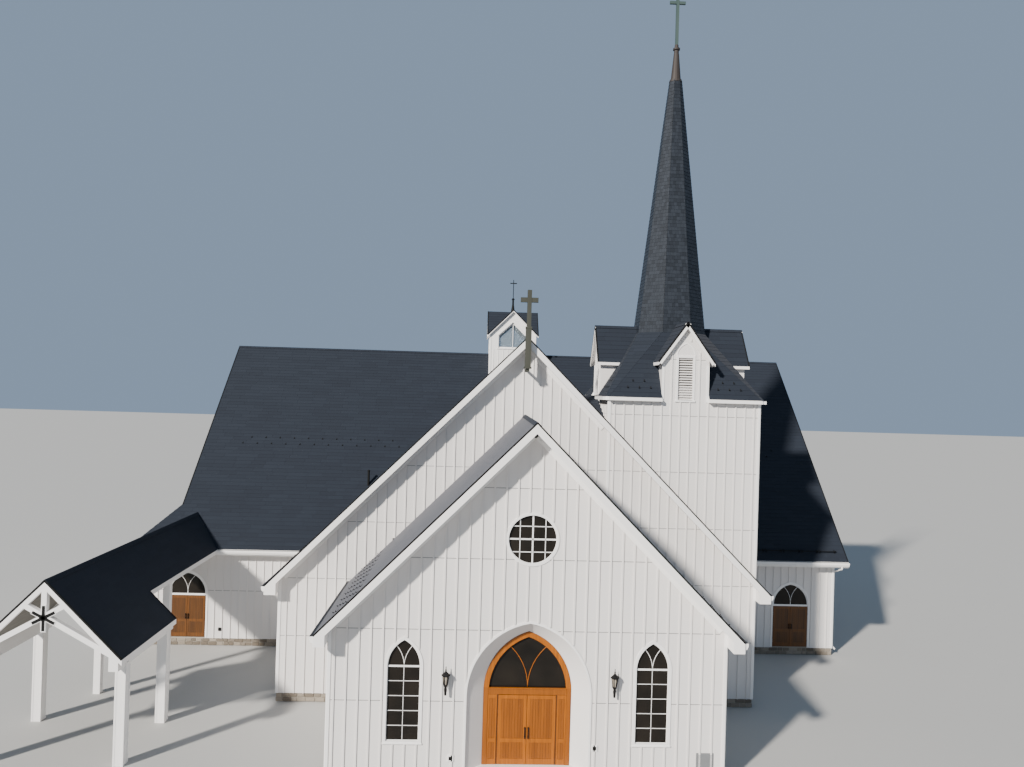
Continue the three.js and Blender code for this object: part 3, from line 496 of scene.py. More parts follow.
def dress_wall(work, place, ends, bottom, top, holes=(), phase=None):
    """Battens and flashings of one wall between its bottom and top lines and round its openings."""
    size = sizes()
    phase = size.batten_phase if phase is None else phase
    half = size.batten_width / 2
    step = math.ceil((ends[0] + size.corner_board + half - phase) / size.batten_pitch)
    u = phase + step * size.batten_pitch
    while u < ends[1] - size.corner_board - half:
        for part in clear_parts(u, bottom, top, holes):
            block(work["battens"], place, (u - half, u + half), part, (0.0, size.batten_depth))
        u += size.batten_pitch
    highest = max(top(ends[0]), top(ends[1]), top((ends[0] + ends[1]) / 2))
    level = size.band_first
    while level < highest:
        dress_band(work["bands"], place, ends, level, lambda u: clear_parts(u, bottom, top, holes))
        level += size.band_pitch


def dress_band(bm, place, ends, level, parts):
    """Flashing at one height, wherever the wall shows there."""
    width = sizes().band_width
    start, step = None, 0.02
    for k in range(int((ends[1] - ends[0]) / step) + 2):
        u = ends[0] + k * step
        shows = u <= ends[1] and any(low < level < high for low, high in parts(u))
        if shows and start is None:
            start = u
        if not shows and start is not None:
            block(bm, place, (start, u - step), (level, level + width), (0.0, 0.007))
            start = None


def corner(bm, place, u, side, low, high):
    """Corner board that ends at u, on the side of the wall that it closes."""
    width = sizes().corner_board
    ends = (u, u + width) if side > 0 else (u - width, u)
    block(bm, place, ends, (low, high), (0.0, BOARD))


def rake_frieze(bm, y, apex, span, side, eave_drop):
    """Board on a gable wall under the soffit of one rake."""
    place = plane((0, y, apex), (1, 0, -side), (side, 0, 1))
    ends = sorted((0.0, side * span * math.sqrt(2)))
    block(bm, place, ends, (-eave_drop - sizes().frieze, -eave_drop), (0.0, BOARD))


def behind_narthex_roof(away):
    """Stretch of an upright that the edge of the narthex roof hides, away from its ridge."""
    top = NARTHEX["apex"] - away
    return top - ROOF - UNDER, top + OVER


class CHURCH_OT_siding(bpy.types.Operator):
    """Covers the walls with battens, flashings, corner boards and friezes"""

    bl_idname = "church.siding"
    bl_label = "Siding"

    def execute(self, context):
        size = sizes()
        work = {name: shell() for name in ("battens", "bands")}
        boards = shell()
        soffit = ROOF / math.sqrt(2)
        rake_drop = (soffit + size.frieze) * math.sqrt(2)
        cased = size.casing + 0.01
        base = lambda u: SILL

        front = facing_front(FRONT)
        holes = [lambda u, a=arch: arch_span(a, cased, u) for arch in LANCETS]
        holes.append(lambda u: arch_span(PORTAL._replace(low=0.0), 0.075, u))
        holes.append(lambda u: round_span(ROUND["radius"] + 0.1, u))
        half = NARTHEX["half"]
        gable = lambda u: NARTHEX["apex"] - abs(u) - rake_drop
        dress_wall(work, front, (-half, half), base, gable, holes)
        for side in (-1, 1):
            corner(boards, front, side * half, -side, SILL, NARTHEX["apex"] - half - ROOF)
            rake_frieze(boards, FRONT, NARTHEX["apex"], half, side, soffit)
            wall = facing_right(half) if side > 0 else facing_left(-half)
            ends = (FRONT, NARTHEX["back"]) if side > 0 else (-NARTHEX["back"], -FRONT)
            top = NARTHEX["apex"] - NARTHEX["eave"] - ROOF - UNDER
            dress_wall(work, wall, ends, base, lambda u: top)
            corner(boards, wall, -side * -FRONT, side, SILL, top)
            block(boards, wall, ends, (top - 0.18, top), (0.0, BOARD))

        front = facing_front(NAVE["front"])
        beside = lambda u: behind_narthex_roof(abs(u))[1] if abs(u) < half else SILL
        hidden = lambda u: behind_narthex_roof(abs(u)) if half < abs(u) < NARTHEX["eave"] else None
        gable = lambda u: RIDGE - abs(u) - rake_drop
        tower_left = TOWER["x"] - TOWER["half"]
        dress_wall(work, front, (-NAVE["half"], tower_left), beside, gable, [hidden])
        corner(boards, front, -NAVE["half"], 1, SILL, RIDGE - NAVE["half"] - ROOF)
        rake_frieze(boards, NAVE["front"], RIDGE, NAVE["half"], -1, soffit)
        rake_frieze(boards, NAVE["front"], RIDGE, tower_left, 1, soffit)
        wall = facing_left(-NAVE["half"])
        top = RIDGE - NAVE["eave"] - ROOF - UNDER
        ends = (-TRANSEPT["front"], -NAVE["front"])
        dress_wall(work, wall, ends, base, lambda u: top)
        corner(boards, wall, ends[1], -1, SILL, top)
        block(boards, wall, ends, (top - 0.18, top), (0.0, BOARD))

        self.tower(work, boards)
        self.transept(work, boards, rake_drop, cased)
        finish("siding_battens", work["battens"], "board_paint", soft=SOFT)
        finish("panel_flashings", work["bands"], "flashing_metal")
        finish("corner_boards", boards, "trim_paint", soft=SOFT)
        return {"FINISHED"}

    def tower(self, work, boards):
        x, y, half, top = TOWER["x"], TOWER["y"], TOWER["half"], TOWER["top"]
        louvre = (LOUVRE["low"] - 0.1, LOUVRE["high"] + 0.7)
        opening = lambda u: louvre if abs(u) < LOUVRE["half"] + LOUVRE["board"] else None
        roof_line = {
            0: lambda u: behind_narthex_roof(x + u)[1] if x + u < NARTHEX["half"] else SILL,
            1: lambda u: SILL,
            2: lambda u: RIDGE - (x - u) + 0.05,
            3: lambda u: CRICKET["ridge"] - CRICKET["fall"] * abs(u) + OVER,
        }
        edge = NARTHEX["eave"] + 0.13
        hidden = lambda u: behind_narthex_roof(x + u) if NARTHEX["half"] < x + u < edge else None
        for side in range(4):
            face = turned(x, y, side * math.pi / 2) @ facing_front(-half)
            holes = [hidden] if side == 0 else []
            dress_wall(work, face, (-half, half), roof_line[side], lambda u: top, holes, phase=0.206)
            lines = lambda u: DORMER["apex"] - DORMER_RISE * abs(u) - 0.42
            dress_wall(
                work, face, (-DORMER["half"], DORMER["half"]), lambda u: top, lines, [opening], phase=0.206)
            for end in (-1, 1):
                low = roof_line[side](end * half)
                corner(boards, face, end * half, -end, max(low, SILL), top)
                corner(boards, face, end * DORMER["half"], -end, top, DORMER["eave_z"] - 0.1)

    def transept(self, work, boards, rake_drop, cased):
        base = lambda u: SILL
        doors = [
            lambda u, a=arch: arch_span(a._replace(low=0.0), cased, u) for arch in SIDE_DOORS.values()
        ]
        lancets = [lambda u, a=arch: arch_span(a, cased, -u) for arch in REAR_LANCETS]
        top = RIDGE - TRANSEPT["eave"] - 0.04
        front, rear = facing_front(TRANSEPT["front"]), facing_rear(TRANSEPT["rear"])
        for face, ends, holes, corners in (
            (front, (-LEAN["side"], -NAVE["half"]), doors, (1, 0)),
            (front, (NAVE["half"], TRANSEPT["side"]), doors, (0, -1)),
            (rear, (-TRANSEPT["side"], LEAN["side"]), lancets, (1, -1)),
            (facing_left(-LEAN["side"]), (-TRANSEPT["rear"], -TRANSEPT["front"]), (), (1, -1)),
        ):
            dress_wall(work, face, ends, base, lambda u: top, holes)
            block(boards, face, ends, (top - 0.16, top), (0.0, BOARD))
            for u, side in zip(ends, corners):
                if side:
                    corner(boards, face, u, side, SILL, top)

        face = facing_right(TRANSEPT["side"])
        holes = [lambda u, a=arch: arch_span(a, cased, u) for arch in GABLE_LANCETS]
        gable = lambda u: RIDGE - abs(u - CROSSING) - rake_drop
        dress_wall(work, face, (TRANSEPT["front"], TRANSEPT["rear"]), base, gable, holes)
        for u, side in ((TRANSEPT["front"], 1), (TRANSEPT["rear"], -1)):
            corner(boards, face, u, side, SILL, RIDGE - TRANSEPT["eave"])

        face = facing_left(-TRANSEPT["side"])
        above = RIDGE - TRANSEPT["eave"] + LEAN["eave"] - TRANSEPT["side"] + OVER
        gable = lambda u: RIDGE - abs(u + CROSSING) - rake_drop
        span = RIDGE - above
        dress_wall(work, face, (-CROSSING - span, -CROSSING + span), lambda u: above, gable)


# roof covering

# where the covering starts behind a roof's front edge, how wide a drip edge is and how far it stands out, the
# rows of snow guards up a slope, and levels of the drip edges out of it
LAP = 0.02
EDGE = 0.05
PROUD = 0.004
GUARD_ROWS = (0.75, 0.98, 1.21, 1.44, 1.67, 1.9)
DRIP = {"top": 0.026, "foot": -0.042, "over_board": -0.027, "on_deck": 0.0}


def reach(outline, low, high):
    """Widest stretch of a convex outline between two levels."""
    us = [u for u, v in outline if low <= v <= high]
    for (ua, va), (ub, vb) in zip(outline, outline[1:] + outline[:1]):
        for level in (low, high):
            if min(va, vb) < level < max(va, vb):
                us.append(ua + (ub - ua) * (level - va) / (vb - va))
    return (min(us), max(us)) if us else None


def strip(x0, x1, y0, y1):
    """Rectangle in plan."""
    return [(x0, y0), (x1, y0), (x1, y1), (x0, y1)]


def on_slope(place, plan):
    """Outline on a slope of a region drawn in plan, turning to the left."""
    out = place.col[2].xyz
    origin = place.translation
    back = place.inverted()
    outline = []
    for x, y in plan:
        z = origin.z - (out.x * (x - origin.x) + out.y * (y - origin.y)) / out.z
        spot = back @ Vector((x, y, z))
        outline.append((spot.x, spot.y))
    area = sum(a[0] * b[1] - a[1] * b[0] for a, b in zip(outline, outline[1:] + outline[:1]))
    return outline if area > 0 else outline[::-1]


def clip(bm, place, outline):
    """Cuts away what lies outside a convex outline and closes the cuts."""
    turn = place.to_3x3()
    for a, b in zip(outline, outline[1:] + outline[:1]):
        away = turn @ Vector((b[1] - a[1], a[0] - b[0], 0.0))
        if away.length > 1e-6:
            saw(bm, place @ Vector((*a, 0.0)), away.normalized())


def lay(bm, place, outline, exposure, width, thick, seed):
    """Overlapping courses on a slope, cut along the outline of the region."""
    rng = random.Random(seed)
    part = shell()
    long = exposure * 1.1
    lean = math.asin(thick / exposure)
    rise = 1.5 * thick - long / 2 * math.sin(lean)
    lowest = min(v for u, v in outline)
    highest = max(v for u, v in outline)
    for row in range(math.floor(lowest / exposure), math.ceil(highest / exposure)):
        v = row * exposure
        run = reach(outline, v, v + long)
        if run is None:
            continue
        u = run[0] - width * rng.random()
        while u < run[1]:
            wide = width * rng.uniform(0.8, 1.2)
            shade = rng.random()
            layer = (rise - thick / 2, rise + thick / 2)
            block(part, place, (u, u + wide - 0.004), (v, v + long), layer, shade, -lean)
            u += wide
    clip(part, place, outline)
    pour(bm, part)


def cap_ridge(bm, place, ends, top, seed):
    """Bent caps over a ridge, one leg of them on each slope."""
    rng = random.Random(seed)
    exposure = sizes().shingle_exposure
    u = ends[0]
    while u < ends[1]:
        end = min(u + exposure - 0.006, ends[1])
        block(bm, place, (u, end), (top - 0.15, top + 0.012), (0.02, 0.034), rng.random())
        u += exposure


def drip(bm, place, plan, turn=None, foot="foot"):
    """Dark metal edge of a roof over a strip drawn in plan."""
    outline = on_slope(place, plan)
    place = place if turn is None else turn @ place
    us = [u for u, v in outline]
    vs = [v for u, v in outline]
    block(bm, place, (min(us), max(us)), (min(vs), max(vs)), (DRIP[foot], DRIP["top"]))


def guards(bm, place, ends, levels, pitch=0.8):
    """Snow guards in staggered rows on a slope."""
    for row, level in enumerate(levels):
        u = ends[0] + pitch * (0.25 + 0.5 * (row % 2))
        while u < ends[1]:
            block(bm, place, (u - 0.02, u + 0.02), (level, level + 0.12), (0.012, 0.024))
            block(bm, place, (u - 0.035, u + 0.035), (level, level + 0.014), (0.012, 0.07))
            u += pitch


def turned(x, y, turn):
    """Frame turned about an upright axis."""
    return Matrix.Translation((x, y, 0)) @ Matrix.Rotation(turn, 4, "Z")


class CHURCH_OT_roofs(bpy.types.Operator):
    """Lays the shingles of every roof, with ridge caps, drip edges and snow guards"""

    bl_idname = "church.roofs"
    bl_label = "Roofs"

    def execute(self, context):
        self.caps = shell()
        self.edges = shell()
        self.guards = shell()
        self.narthex_and_nave()
        self.transepts()
        self.tower_skirt()
        self.cupola()
        self.canopy()
        finish("ridge_caps", self.caps, "shingle_roof")
        finish("drip_edges", self.edges, "dark_metal")
        finish("snow_guards", self.guards, "dark_metal", soft=SOFT)
        return {"FINISHED"}

    def shingles(self, bm, place, plan, seed, turn=None, outline=None, thick=None):
        size = sizes()
        outline = on_slope(place, plan) if outline is None else outline
        spot = place if turn is None else turn @ place
        thick = thick or size.shingle_thickness
        lay(bm, spot, outline, size.shingle_exposure, size.shingle_width, thick, seed)

    def narthex_and_nave(self):
        front = shell()
        nave = shell()
        apex, eave, rake, back = (NARTHEX[k] for k in ("apex", "eave", "rake", "back"))
        for side in (-1, 1):
            place = side_slope(0, eave, apex, side)
            start = rake + LAP
            self.shingles(front, place, strip(0, side * eave, start, back), 11 + side)
            drip(self.edges, place, strip(0, side * eave, rake, rake + EDGE), foot="over_board")
            ends = sorted((-side * -rake, -side * -back))
            cap_ridge(self.caps, place, ends, eave * math.sqrt(2), 21 + side)
            guards(self.guards, place, ends, GUARD_ROWS)
        finish("narthex_shingles", front, "glinting_shingle")

        eave, rake, side_wall = NAVE["eave"], NAVE["rake"], TOWER["x"] - TOWER["half"]
        start = rake + LAP
        place = side_slope(0, eave, RIDGE, -1)
        inner = CUPOLA["half"]
        valley = [(-eave, CROSSING - eave), (-inner, CROSSING - inner), (0, CROSSING - inner)]
        self.shingles(nave, place, [(0, start), (-eave, start), *valley], 31)
        guards(self.guards, place, (eave - CROSSING, -rake), GUARD_ROWS)
        drip(self.edges, place, strip(0, -eave, rake, rake + EDGE), foot="over_board")
        cap_ridge(self.caps, place, (CUPOLA["half"] - CROSSING, -rake), eave * math.sqrt(2), 33)
        place = side_slope(0, eave, RIDGE, 1)
        behind = TOWER["y"] + TOWER["half"]
        self.shingles(nave, place, strip(0, side_wall, start, behind), 34)
        self.shingles(nave, place, [
            (0, behind), (NAVE["half"], behind), (NAVE["half"], CROSSING - NAVE["half"]),
            (inner, CROSSING - inner), (0, CROSSING - inner),
        ], 35)
        self.shingles(nave, place, strip(NAVE["half"], eave, start, CROSSING - eave), 36)
        self.shingles(nave, place, strip(side_wall, NAVE["half"], start, NAVE["front"]), 40)
        drip(self.edges, place, strip(0, eave, rake, rake + EDGE), foot="over_board")
        cap_ridge(self.caps, place, (rake, CROSSING - CUPOLA["half"]), eave * math.sqrt(2), 37)
        for side in (-1, 1):
            fall = math.atan(CRICKET["fall"])
            left, middle = CRICKET["left"], TOWER["y"]
            place = slope((side_wall, middle, CRICKET["ridge"]), (0, side), fall)
            reach_y = (CRICKET["ridge"] - (RIDGE - side_wall)) / CRICKET["fall"]
            self.shingles(nave, place, [
                (left, middle), (side_wall, middle), (side_wall, middle + side * reach_y)], 38 + side)
        finish("nave_shingles", nave, "shingle_roof")

    def transepts(self):
        eave, verge = TRANSEPT["eave"], TRANSEPT["verge"]
        front, rear = CROSSING - eave, CROSSING + eave
        inner = CUPOLA["half"]
        hip = LEAN["eave"] - verge
        place = transept_slope(-1)
        left = shell()
        self.shingles(left, place, [
            (-inner, CROSSING), (-verge, CROSSING), (-verge, front), (-eave, front),
            (-inner, CROSSING - inner),
        ], 41)
        self.shingles(left, place, [(-verge, front + hip), (-LEAN["eave"], front), (-verge, front)], 42)
        finish("left_transept_shingles", left, "shingle_roof")
        right = shell()
        self.shingles(right, place, [
            (inner, CROSSING), (verge, CROSSING), (verge, front), (eave, front), (inner, CROSSING - inner),
        ], 43)
        finish("right_transept_shingles", right, "shingle_roof")
        self.verges(place, front, hip)
        guards(self.guards, place, (-15.5, -6.2), (7.0, 7.45))
        guards(self.guards, place, (6.6, 15.5), (7.0, 7.45))
        cap_ridge(self.caps, place, (-verge, -inner), eave * math.sqrt(2), 44)
        cap_ridge(self.caps, place, (inner, verge), eave * math.sqrt(2), 45)

        place = transept_slope(1)
        back = shell()
        self.shingles(
            back, place, [(-verge, CROSSING), (-verge, rear), (-inner, rear), (-inner, CROSSING)], 46)
        self.shingles(back, place, [(verge, CROSSING), (verge, rear), (inner, rear), (inner, CROSSING)], 47)
        self.shingles(back, place, strip(-inner, inner, rear, CROSSING + inner), 48)
        self.shingles(back, place, [(-verge, rear - hip), (-LEAN["eave"], rear), (-verge, rear)], 49)
        cap_ridge(self.caps, place, (-verge, -inner), eave * math.sqrt(2), 50)
        cap_ridge(self.caps, place, (inner, verge), eave * math.sqrt(2), 51)
        self.verges(place, rear, -hip)
        finish("rear_shingles", back, "shingle_roof")

        lean = shell()
        place = slope((-LEAN["eave"], 0, RIDGE - eave), (-1, 0))
        self.shingles(lean, place, [
            (-LEAN["eave"], front), (-verge, front + hip), (-verge, rear - hip), (-LEAN["eave"], rear)], 52)
        top = TRANSEPT["side"]
        self.shingles(lean, place, [
            (-verge, front + hip + 0.3), (-top, front + hip + 0.9), (-top, rear - hip - 0.9),
            (-verge, rear - hip - 0.3)], 53)
        finish("lean_to_shingles", lean, "shingle_roof")

    def verges(self, place, eave_line, hip):
        """Drip edges up both ends of a transept slope."""
        for x, side in ((-TRANSEPT["verge"], 1), (TRANSEPT["verge"], -1)):
            drip(self.edges, place, [
                (x, CROSSING), (x, eave_line + (hip if side > 0 else 0)), (x + side * EDGE, eave_line + hip),
                (x + side * EDGE, CROSSING)], foot="on_deck")

    def tower_skirt(self):
        skirt = shell()
        run = TOWER["eave"] - SPIRE["foot"]
        tall = SKIRT["head"] - SKIRT["foot"]
        pitch = math.atan2(tall, run)
        top = math.hypot(run, tall)
        wide = TOWER["eave"] - SKIRT["chamfer"]
        narrow = SPIRE["foot"] * OCTAGON
        cheek = DORMER["half"]
        crown = (DORMER["apex"] - SKIRT["head"]) / DORMER_RISE
        valley_foot = (DORMER["eave_z"] - SKIRT["foot"]) / math.sin(pitch)
        meet = valley_foot + (DORMER["eave"] - cheek) / (DORMER["eave"] - crown) * (top - valley_foot)
        hip_at = lambda v: wide + (narrow - wide) * v / top
        face = slope((0, -TOWER["eave"], SKIRT["foot"]), (0, -1), pitch)
        corner_middle = (wide + TOWER["eave"]) / 2
        corner_run = corner_middle * math.sqrt(2) - SPIRE["foot"]
        corner_foot = (-corner_middle, -corner_middle, SKIRT["foot"])
        corner_face = slope(corner_foot, (-1, -1), math.atan2(tall, corner_run))
        corner_top = math.hypot(corner_run, tall)
        corner_half = SKIRT["chamfer"] / math.sqrt(2)
        bed = DORMER["front"]
        inside = TOWER["eave"] - (DORMER["apex"] - SKIRT["foot"]) / math.tan(pitch)
        outside = TOWER["eave"] - (DORMER["eave_z"] - SKIRT["foot"]) / math.tan(pitch)
        for k in range(4):
            turn = turned(TOWER["x"], TOWER["y"], k * math.pi / 2)
            for s in (-1, 1):
                lower = [(s * wide, 0), (s * cheek, 0), (s * cheek, meet), (s * hip_at(meet), meet)]
                upper = [(s * hip_at(meet), meet), (s * cheek, meet), (s * crown, top), (s * narrow, top)]
                for part, outline in enumerate((lower, upper)):
                    outline = outline if s < 0 else outline[::-1]
                    self.shingles(skirt, face, None, 60 + 4 * k + part, turn, outline)
                guards(self.guards, turn @ face, sorted((s * 1.35, s * 2.6)), (0.45, 0.8), 0.5)
                dormer = slope((s * DORMER["eave"], 0, DORMER["eave_z"]), (s, 0), DORMER_PITCH)
                start, wide_eave = LAP - bed, s * DORMER["eave"]
                plan = [(0, start), (wide_eave, start), (wide_eave, -outside), (0, -inside)]
                self.shingles(skirt, dormer, plan, 80 + k, turn)
                rim = -bed - 2 * PROUD
                edge = strip(0, wide_eave, rim, EDGE - bed)
                drip(self.edges, dormer, edge, turn)
                crest = max(v for u, v in on_slope(dormer, edge))
                cap_ridge(self.caps, turn @ dormer, sorted((s * -bed, s * -inside)), crest, 90 + k)
            outline = [(-corner_half, 0), (corner_half, 0), (narrow, corner_top), (-narrow, corner_top)]
            self.shingles(skirt, corner_face, None, 70 + k, turn, outline)
        finish("tower_skirt_shingles", skirt, "shingle_roof")

    def cupola(self):
        roof = shell()
        eave, apex = CUPOLA["eave"], CUPOLA["apex"]
        end = eave + 0.02
        for k in range(4):
            turn = turned(0, CROSSING, k * math.pi / 2)
            for s in (-1, 1):
                place = side_slope(0, eave, apex, s)
                start, far = LAP - end, s * eave
                self.shingles(roof, place, [(0, start), (far, start), (far, -eave), (0, 0)], 100 + k, turn)
                rim = -end - PROUD
                drip(self.edges, place, strip(0, far, rim, EDGE - end), turn)
        finish("cupola_shingles", roof, "shingle_roof")

    def canopy(self):
        cover = shell()
        x, ridge, wide, narrow = (CANOPY[k] for k in ("x", "ridge", "wide", "narrow"))
        front, step = CANOPY["front"], CANOPY["step"]
        meet = CROSSING - RIDGE + ridge
        for s in (-1, 1):
            place = side_slope(x, wide, ridge, s)
            start, outer, inner = front + LAP, x + s * wide, x + s * narrow
            thin = sizes().canopy_shingle
            upper = [(x, step), (inner, step), (inner, meet - narrow), (x, meet)]
            self.shingles(cover, place, strip(x, outer, start, step), 111 + s, thick=thin)
            self.shingles(cover, place, upper, 113 + s, thick=thin)
            drip(self.edges, place, strip(x, outer, front - PROUD, front + EDGE))
            drip(self.edges, place, strip(inner, outer, step - EDGE, step + PROUD))
            cap_ridge(self.caps, place, sorted((s * front, s * meet)), wide * math.sqrt(2), 115 + s)
        finish("canopy_shingles", cover, "shingle_roof")


class CHURCH_OT_spire(bpy.types.Operator):
    """Lays the slates of the spire"""

    bl_idname = "church.spire"
    bl_label = "Spire"

    def execute(self, context):
        size = sizes()
        slates = shell()
        run = SPIRE["foot"] - SPIRE["tip"]
        tall = SPIRE["head"] - SKIRT["head"]
        top = math.hypot(run, tall)
        wide, narrow = SPIRE["foot"] * OCTAGON, SPIRE["tip"] * OCTAGON
        face = slope((0, -SPIRE["foot"], SKIRT["head"]), (0, -1), math.atan2(tall, run))
        outline = [(-wide, 0), (wide, 0), (narrow, top), (-narrow, top)]
        for k in range(8):
            spot = turned(TOWER["x"], TOWER["y"], k * math.pi / 4) @ face
            lay(slates, spot, outline, size.slate_exposure, size.slate_width, size.slate_thickness, 120 + k)
        finish("spire_slates", slates, "spire_slate")
        rings = lathe((TOWER["x"], TOWER["y"], SPIRE["head"] - 0.06), (
            (0.2, 0), (0.305, 0), (0.305, 0.06), (0.2, 0.06), (0.2, 0)), 24)
        finish("spire_cap_rings", rings, "cap_copper")
        return {"FINISHED"}


class CHURCH_OT_windows(bpy.types.Operator):
    """Frames and bars the windows, the louvres and the cupola glass"""

    bl_idname = "church.windows"
    bl_label = "Windows"

    def execute(self, context):
        front = shell()
        for arch in LANCETS:
            dress_window(front, facing_front(FRONT), arch, FRONT_GLASS)
        self.round_window(front)
        finish("front_window_trim", front, "trim_paint")
        sides = shell()
        for arch in REAR_LANCETS:
            mirrored = arch._replace(middle=-arch.middle)
            dress_window(sides, facing_rear(TRANSEPT["rear"]), mirrored, SIDE_GLASS)
        for arch in GABLE_LANCETS:
            dress_window(sides, facing_right(TRANSEPT["side"]), arch, SIDE_GLASS)
        finish("rear_window_trim", sides, "trim_paint")
        self.louvres()
        self.cupola()
        return {"FINISHED"}

    def round_window(self, bm):
        place = facing_front(FRONT)
        z, radius = ROUND["z"], ROUND["radius"]
        bars = (FRONT_GLASS, FRONT_GLASS / 2)
        pour(bm, round_ring(place, (0, z), radius + 0.09, radius, 0.0, CASE))
        pour(bm, round_ring(place, (0, z), radius, radius - 0.012, FRONT_GLASS, FRONT_GLASS / 4))
        for k in (-1, 0, 1):
            away = k * ROUND["bars"]
            half = math.sqrt(radius ** 2 - away ** 2)
            side = 0.025 if k == 0 else 0.012
            block(bm, place, (away - side, away + side), (z - half, z + half), bars)
            block(bm, place, (-half, half), (z + away - side, z + away + side), bars)

    def louvres(self):
        trim = shell()
        half, low, high, board, sill = (LOUVRE[k] for k in ("half", "low", "high", "board", "sill"))
        head = Arch(0, half + 0.08, high, high + 0.06, high + 0.62)
        for k in range(4):
            turn = turned(TOWER["x"], TOWER["y"], k * math.pi / 2)
            face = turn @ facing_front(-TOWER["half"])
            for s in (-1, 1):
                ends = sorted((s * half, s * (half + board)))
                block(trim, face, ends, (low - 0.02, high + board), (0, CASE))
            block(trim, face, (-half - 0.12, half + 0.12), (low - sill, low), (0, 0.05))
            block(trim, face, (-half, half), (high, high + board), (0, CASE))
            pour(trim, arch_ring(face, head, 0.02, -0.03, 0.0, 0.02))
            for s in (-1, 1):
                along, up = (1, 0, -s * DORMER_RISE), (s * DORMER_RISE, 0, 1)
                rake = turn @ plane((0, -DORMER["front"] + 0.012, DORMER["apex"]), along, up)
                ends = sorted((0.0, s * DORMER["eave"] / math.cos(DORMER_PITCH)))
                block(trim, rake, ends, (-0.16, -0.02), (0.0, 0.012 + PROUD))
        finish("louvre_trim", trim, "trim_paint", soft=SOFT)

    def cupola(self):
        trim = shell()
        reach_x, sill, shoulder, peak = (CUPOLA[k] for k in ("glass", "sill", "shoulder", "peak"))
        frame_depth = (-0.12, -0.07)
        for k in range(4):
            turn = turned(0, CROSSING, k * math.pi / 2)
            face = turn @ facing_front(-CUPOLA["half"])
            block(trim, face, (-0.018, 0.018), (sill, peak), frame_depth)
            for s in (-1, 1):
                block(trim, face, sorted((s * reach_x, s * (reach_x - 0.06))), (sill, shoulder), frame_depth)
                along = Vector((s * reach_x, 0, shoulder - peak))
                up = Vector((-along.z, 0, along.x)) * s
                rake = turn @ plane((0, -CUPOLA["half"], peak), along * s, up)
                ends = sorted((0.0, s * along.length))
                block(trim, rake, ends, (-0.06, 0.0), frame_depth)
                block(trim, rake, ends, (0.02, 0.11), (0.0, 0.02))
                block(trim, face, sorted((s * CUPOLA["half"], s * 1.34)), (14.1, 16.7), (0.0, 0.02))
            for step in range(-4, 5):
                u = 0.3 * step
                block(trim, face, (u - 0.02, u + 0.02), (RIDGE - abs(u) + 0.04, sill - 0.08), (0.0, 0.018))
            block(trim, face, (-reach_x - 0.1, reach_x + 0.1), (sill - 0.08, sill), (0.0, 0.04))
            block(trim, face, (-reach_x, reach_x), (sill, sill + 0.06), frame_depth)
        finish("cupola_trim", trim, "trim_paint", soft=SOFT)


class CHURCH_OT_portal(bpy.types.Operator):
    """Lines the portal and builds the main door"""

    bl_idname = "church.portal"
    bl_label = "Portal and main door"

    def execute(self, context):
        wall = facing_front(FRONT)
        lining = shell()
        arch_loop(lining, wall, PORTAL, -0.006, 0.0, 28)
        arch_loop(lining, wall, PORTAL_BACK, -0.006, 0.001 - PORTAL_DEPTH, 28)
        bmesh.ops.bridge_loops(lining, edges=lining.edges[:])
        bmesh.ops.solidify(lining, geom=lining.faces[:], thickness=0.0015)
        bmesh.ops.recalc_face_normals(lining, faces=lining.faces[:])
        finish("portal_lining", lining, "smooth_paint")
        trim = arch_ring(wall, PORTAL._replace(low=0.2), 0.06, -0.01, 0.0, 0.036)
        saw(trim, Vector((0, 0, SILL)), Vector((0, 0, -1)))
        finish("portal_casing", trim, "trim_paint")
        self.door()
        return {"FINISHED"}

    def door(self):
        face = facing_front(FRONT + PORTAL_DEPTH + SEAT)
        wood = shell()
        ring = arch_ring(face, PORTAL_BACK._replace(low=2.0), -0.012, -0.19, 0.0, 0.03)
        saw(ring, Vector((0, 0, MAIN_DOOR["head"])), Vector((0, 0, -1)))
        pour(wood, ring)
        tracery(wood, face, MAIN_FANLIGHT, 0.0, MAIN_FANLIGHT.spring, 0.022, -0.06, -0.035)
        foot, light, board, crown = FLOOR + 0.01, MAIN_DOOR["light"], MAIN_DOOR["board"], MAIN_DOOR["crown"]
        for s in (-1, 1):
            pour(wood, panelled(face, s * light[0], s * light[1], foot, MAIN_DOOR["light_top"], 0.05))
            block(wood, face, sorted((s * board[0], s * board[1])), (foot, crown[1]), (0.0, 0.03))
        for level, out in ((MAIN_DOOR["bar"], 0.03), (crown, 0.045)):
            block(wood, face, (-light[1], light[1]), level, (0.0, out))
        finish("main_door_mouldings", wood, "oak_wood", soft=SOFT)
        bar = shell()
        block(bar, face, (-1.5, 1.5), (FLOOR - 0.04, FLOOR + 0.006), (-0.04, 0.1))
        finish("main_door_sill", bar, "trim_paint", soft=0.004)
        for name, s in (("left", -1), ("right", 1)):
            hang(f"main_leaf_{name}", face, 0.0, s, MAIN_DOOR["leaf"], MAIN_DOOR["top"], 0.11,
                 "oak_wood", 1.75)


def hang(body, face, middle, side, reach_out, top, stile, wood, pull_top):
    """Planks and pull of the leaf on one side of a door's middle."""
    leaf = panelled(face, middle + side * reach_out, middle + side * 0.0065, FLOOR + 0.02, top, stile)
    finish(f"{body}_planks", leaf, wood, body, 0.002)
    pull = door_pull(face, middle + side * 0.06, PULL_FOOT, pull_top)
    finish(f"{body}_pull", pull, "dark_metal", body)


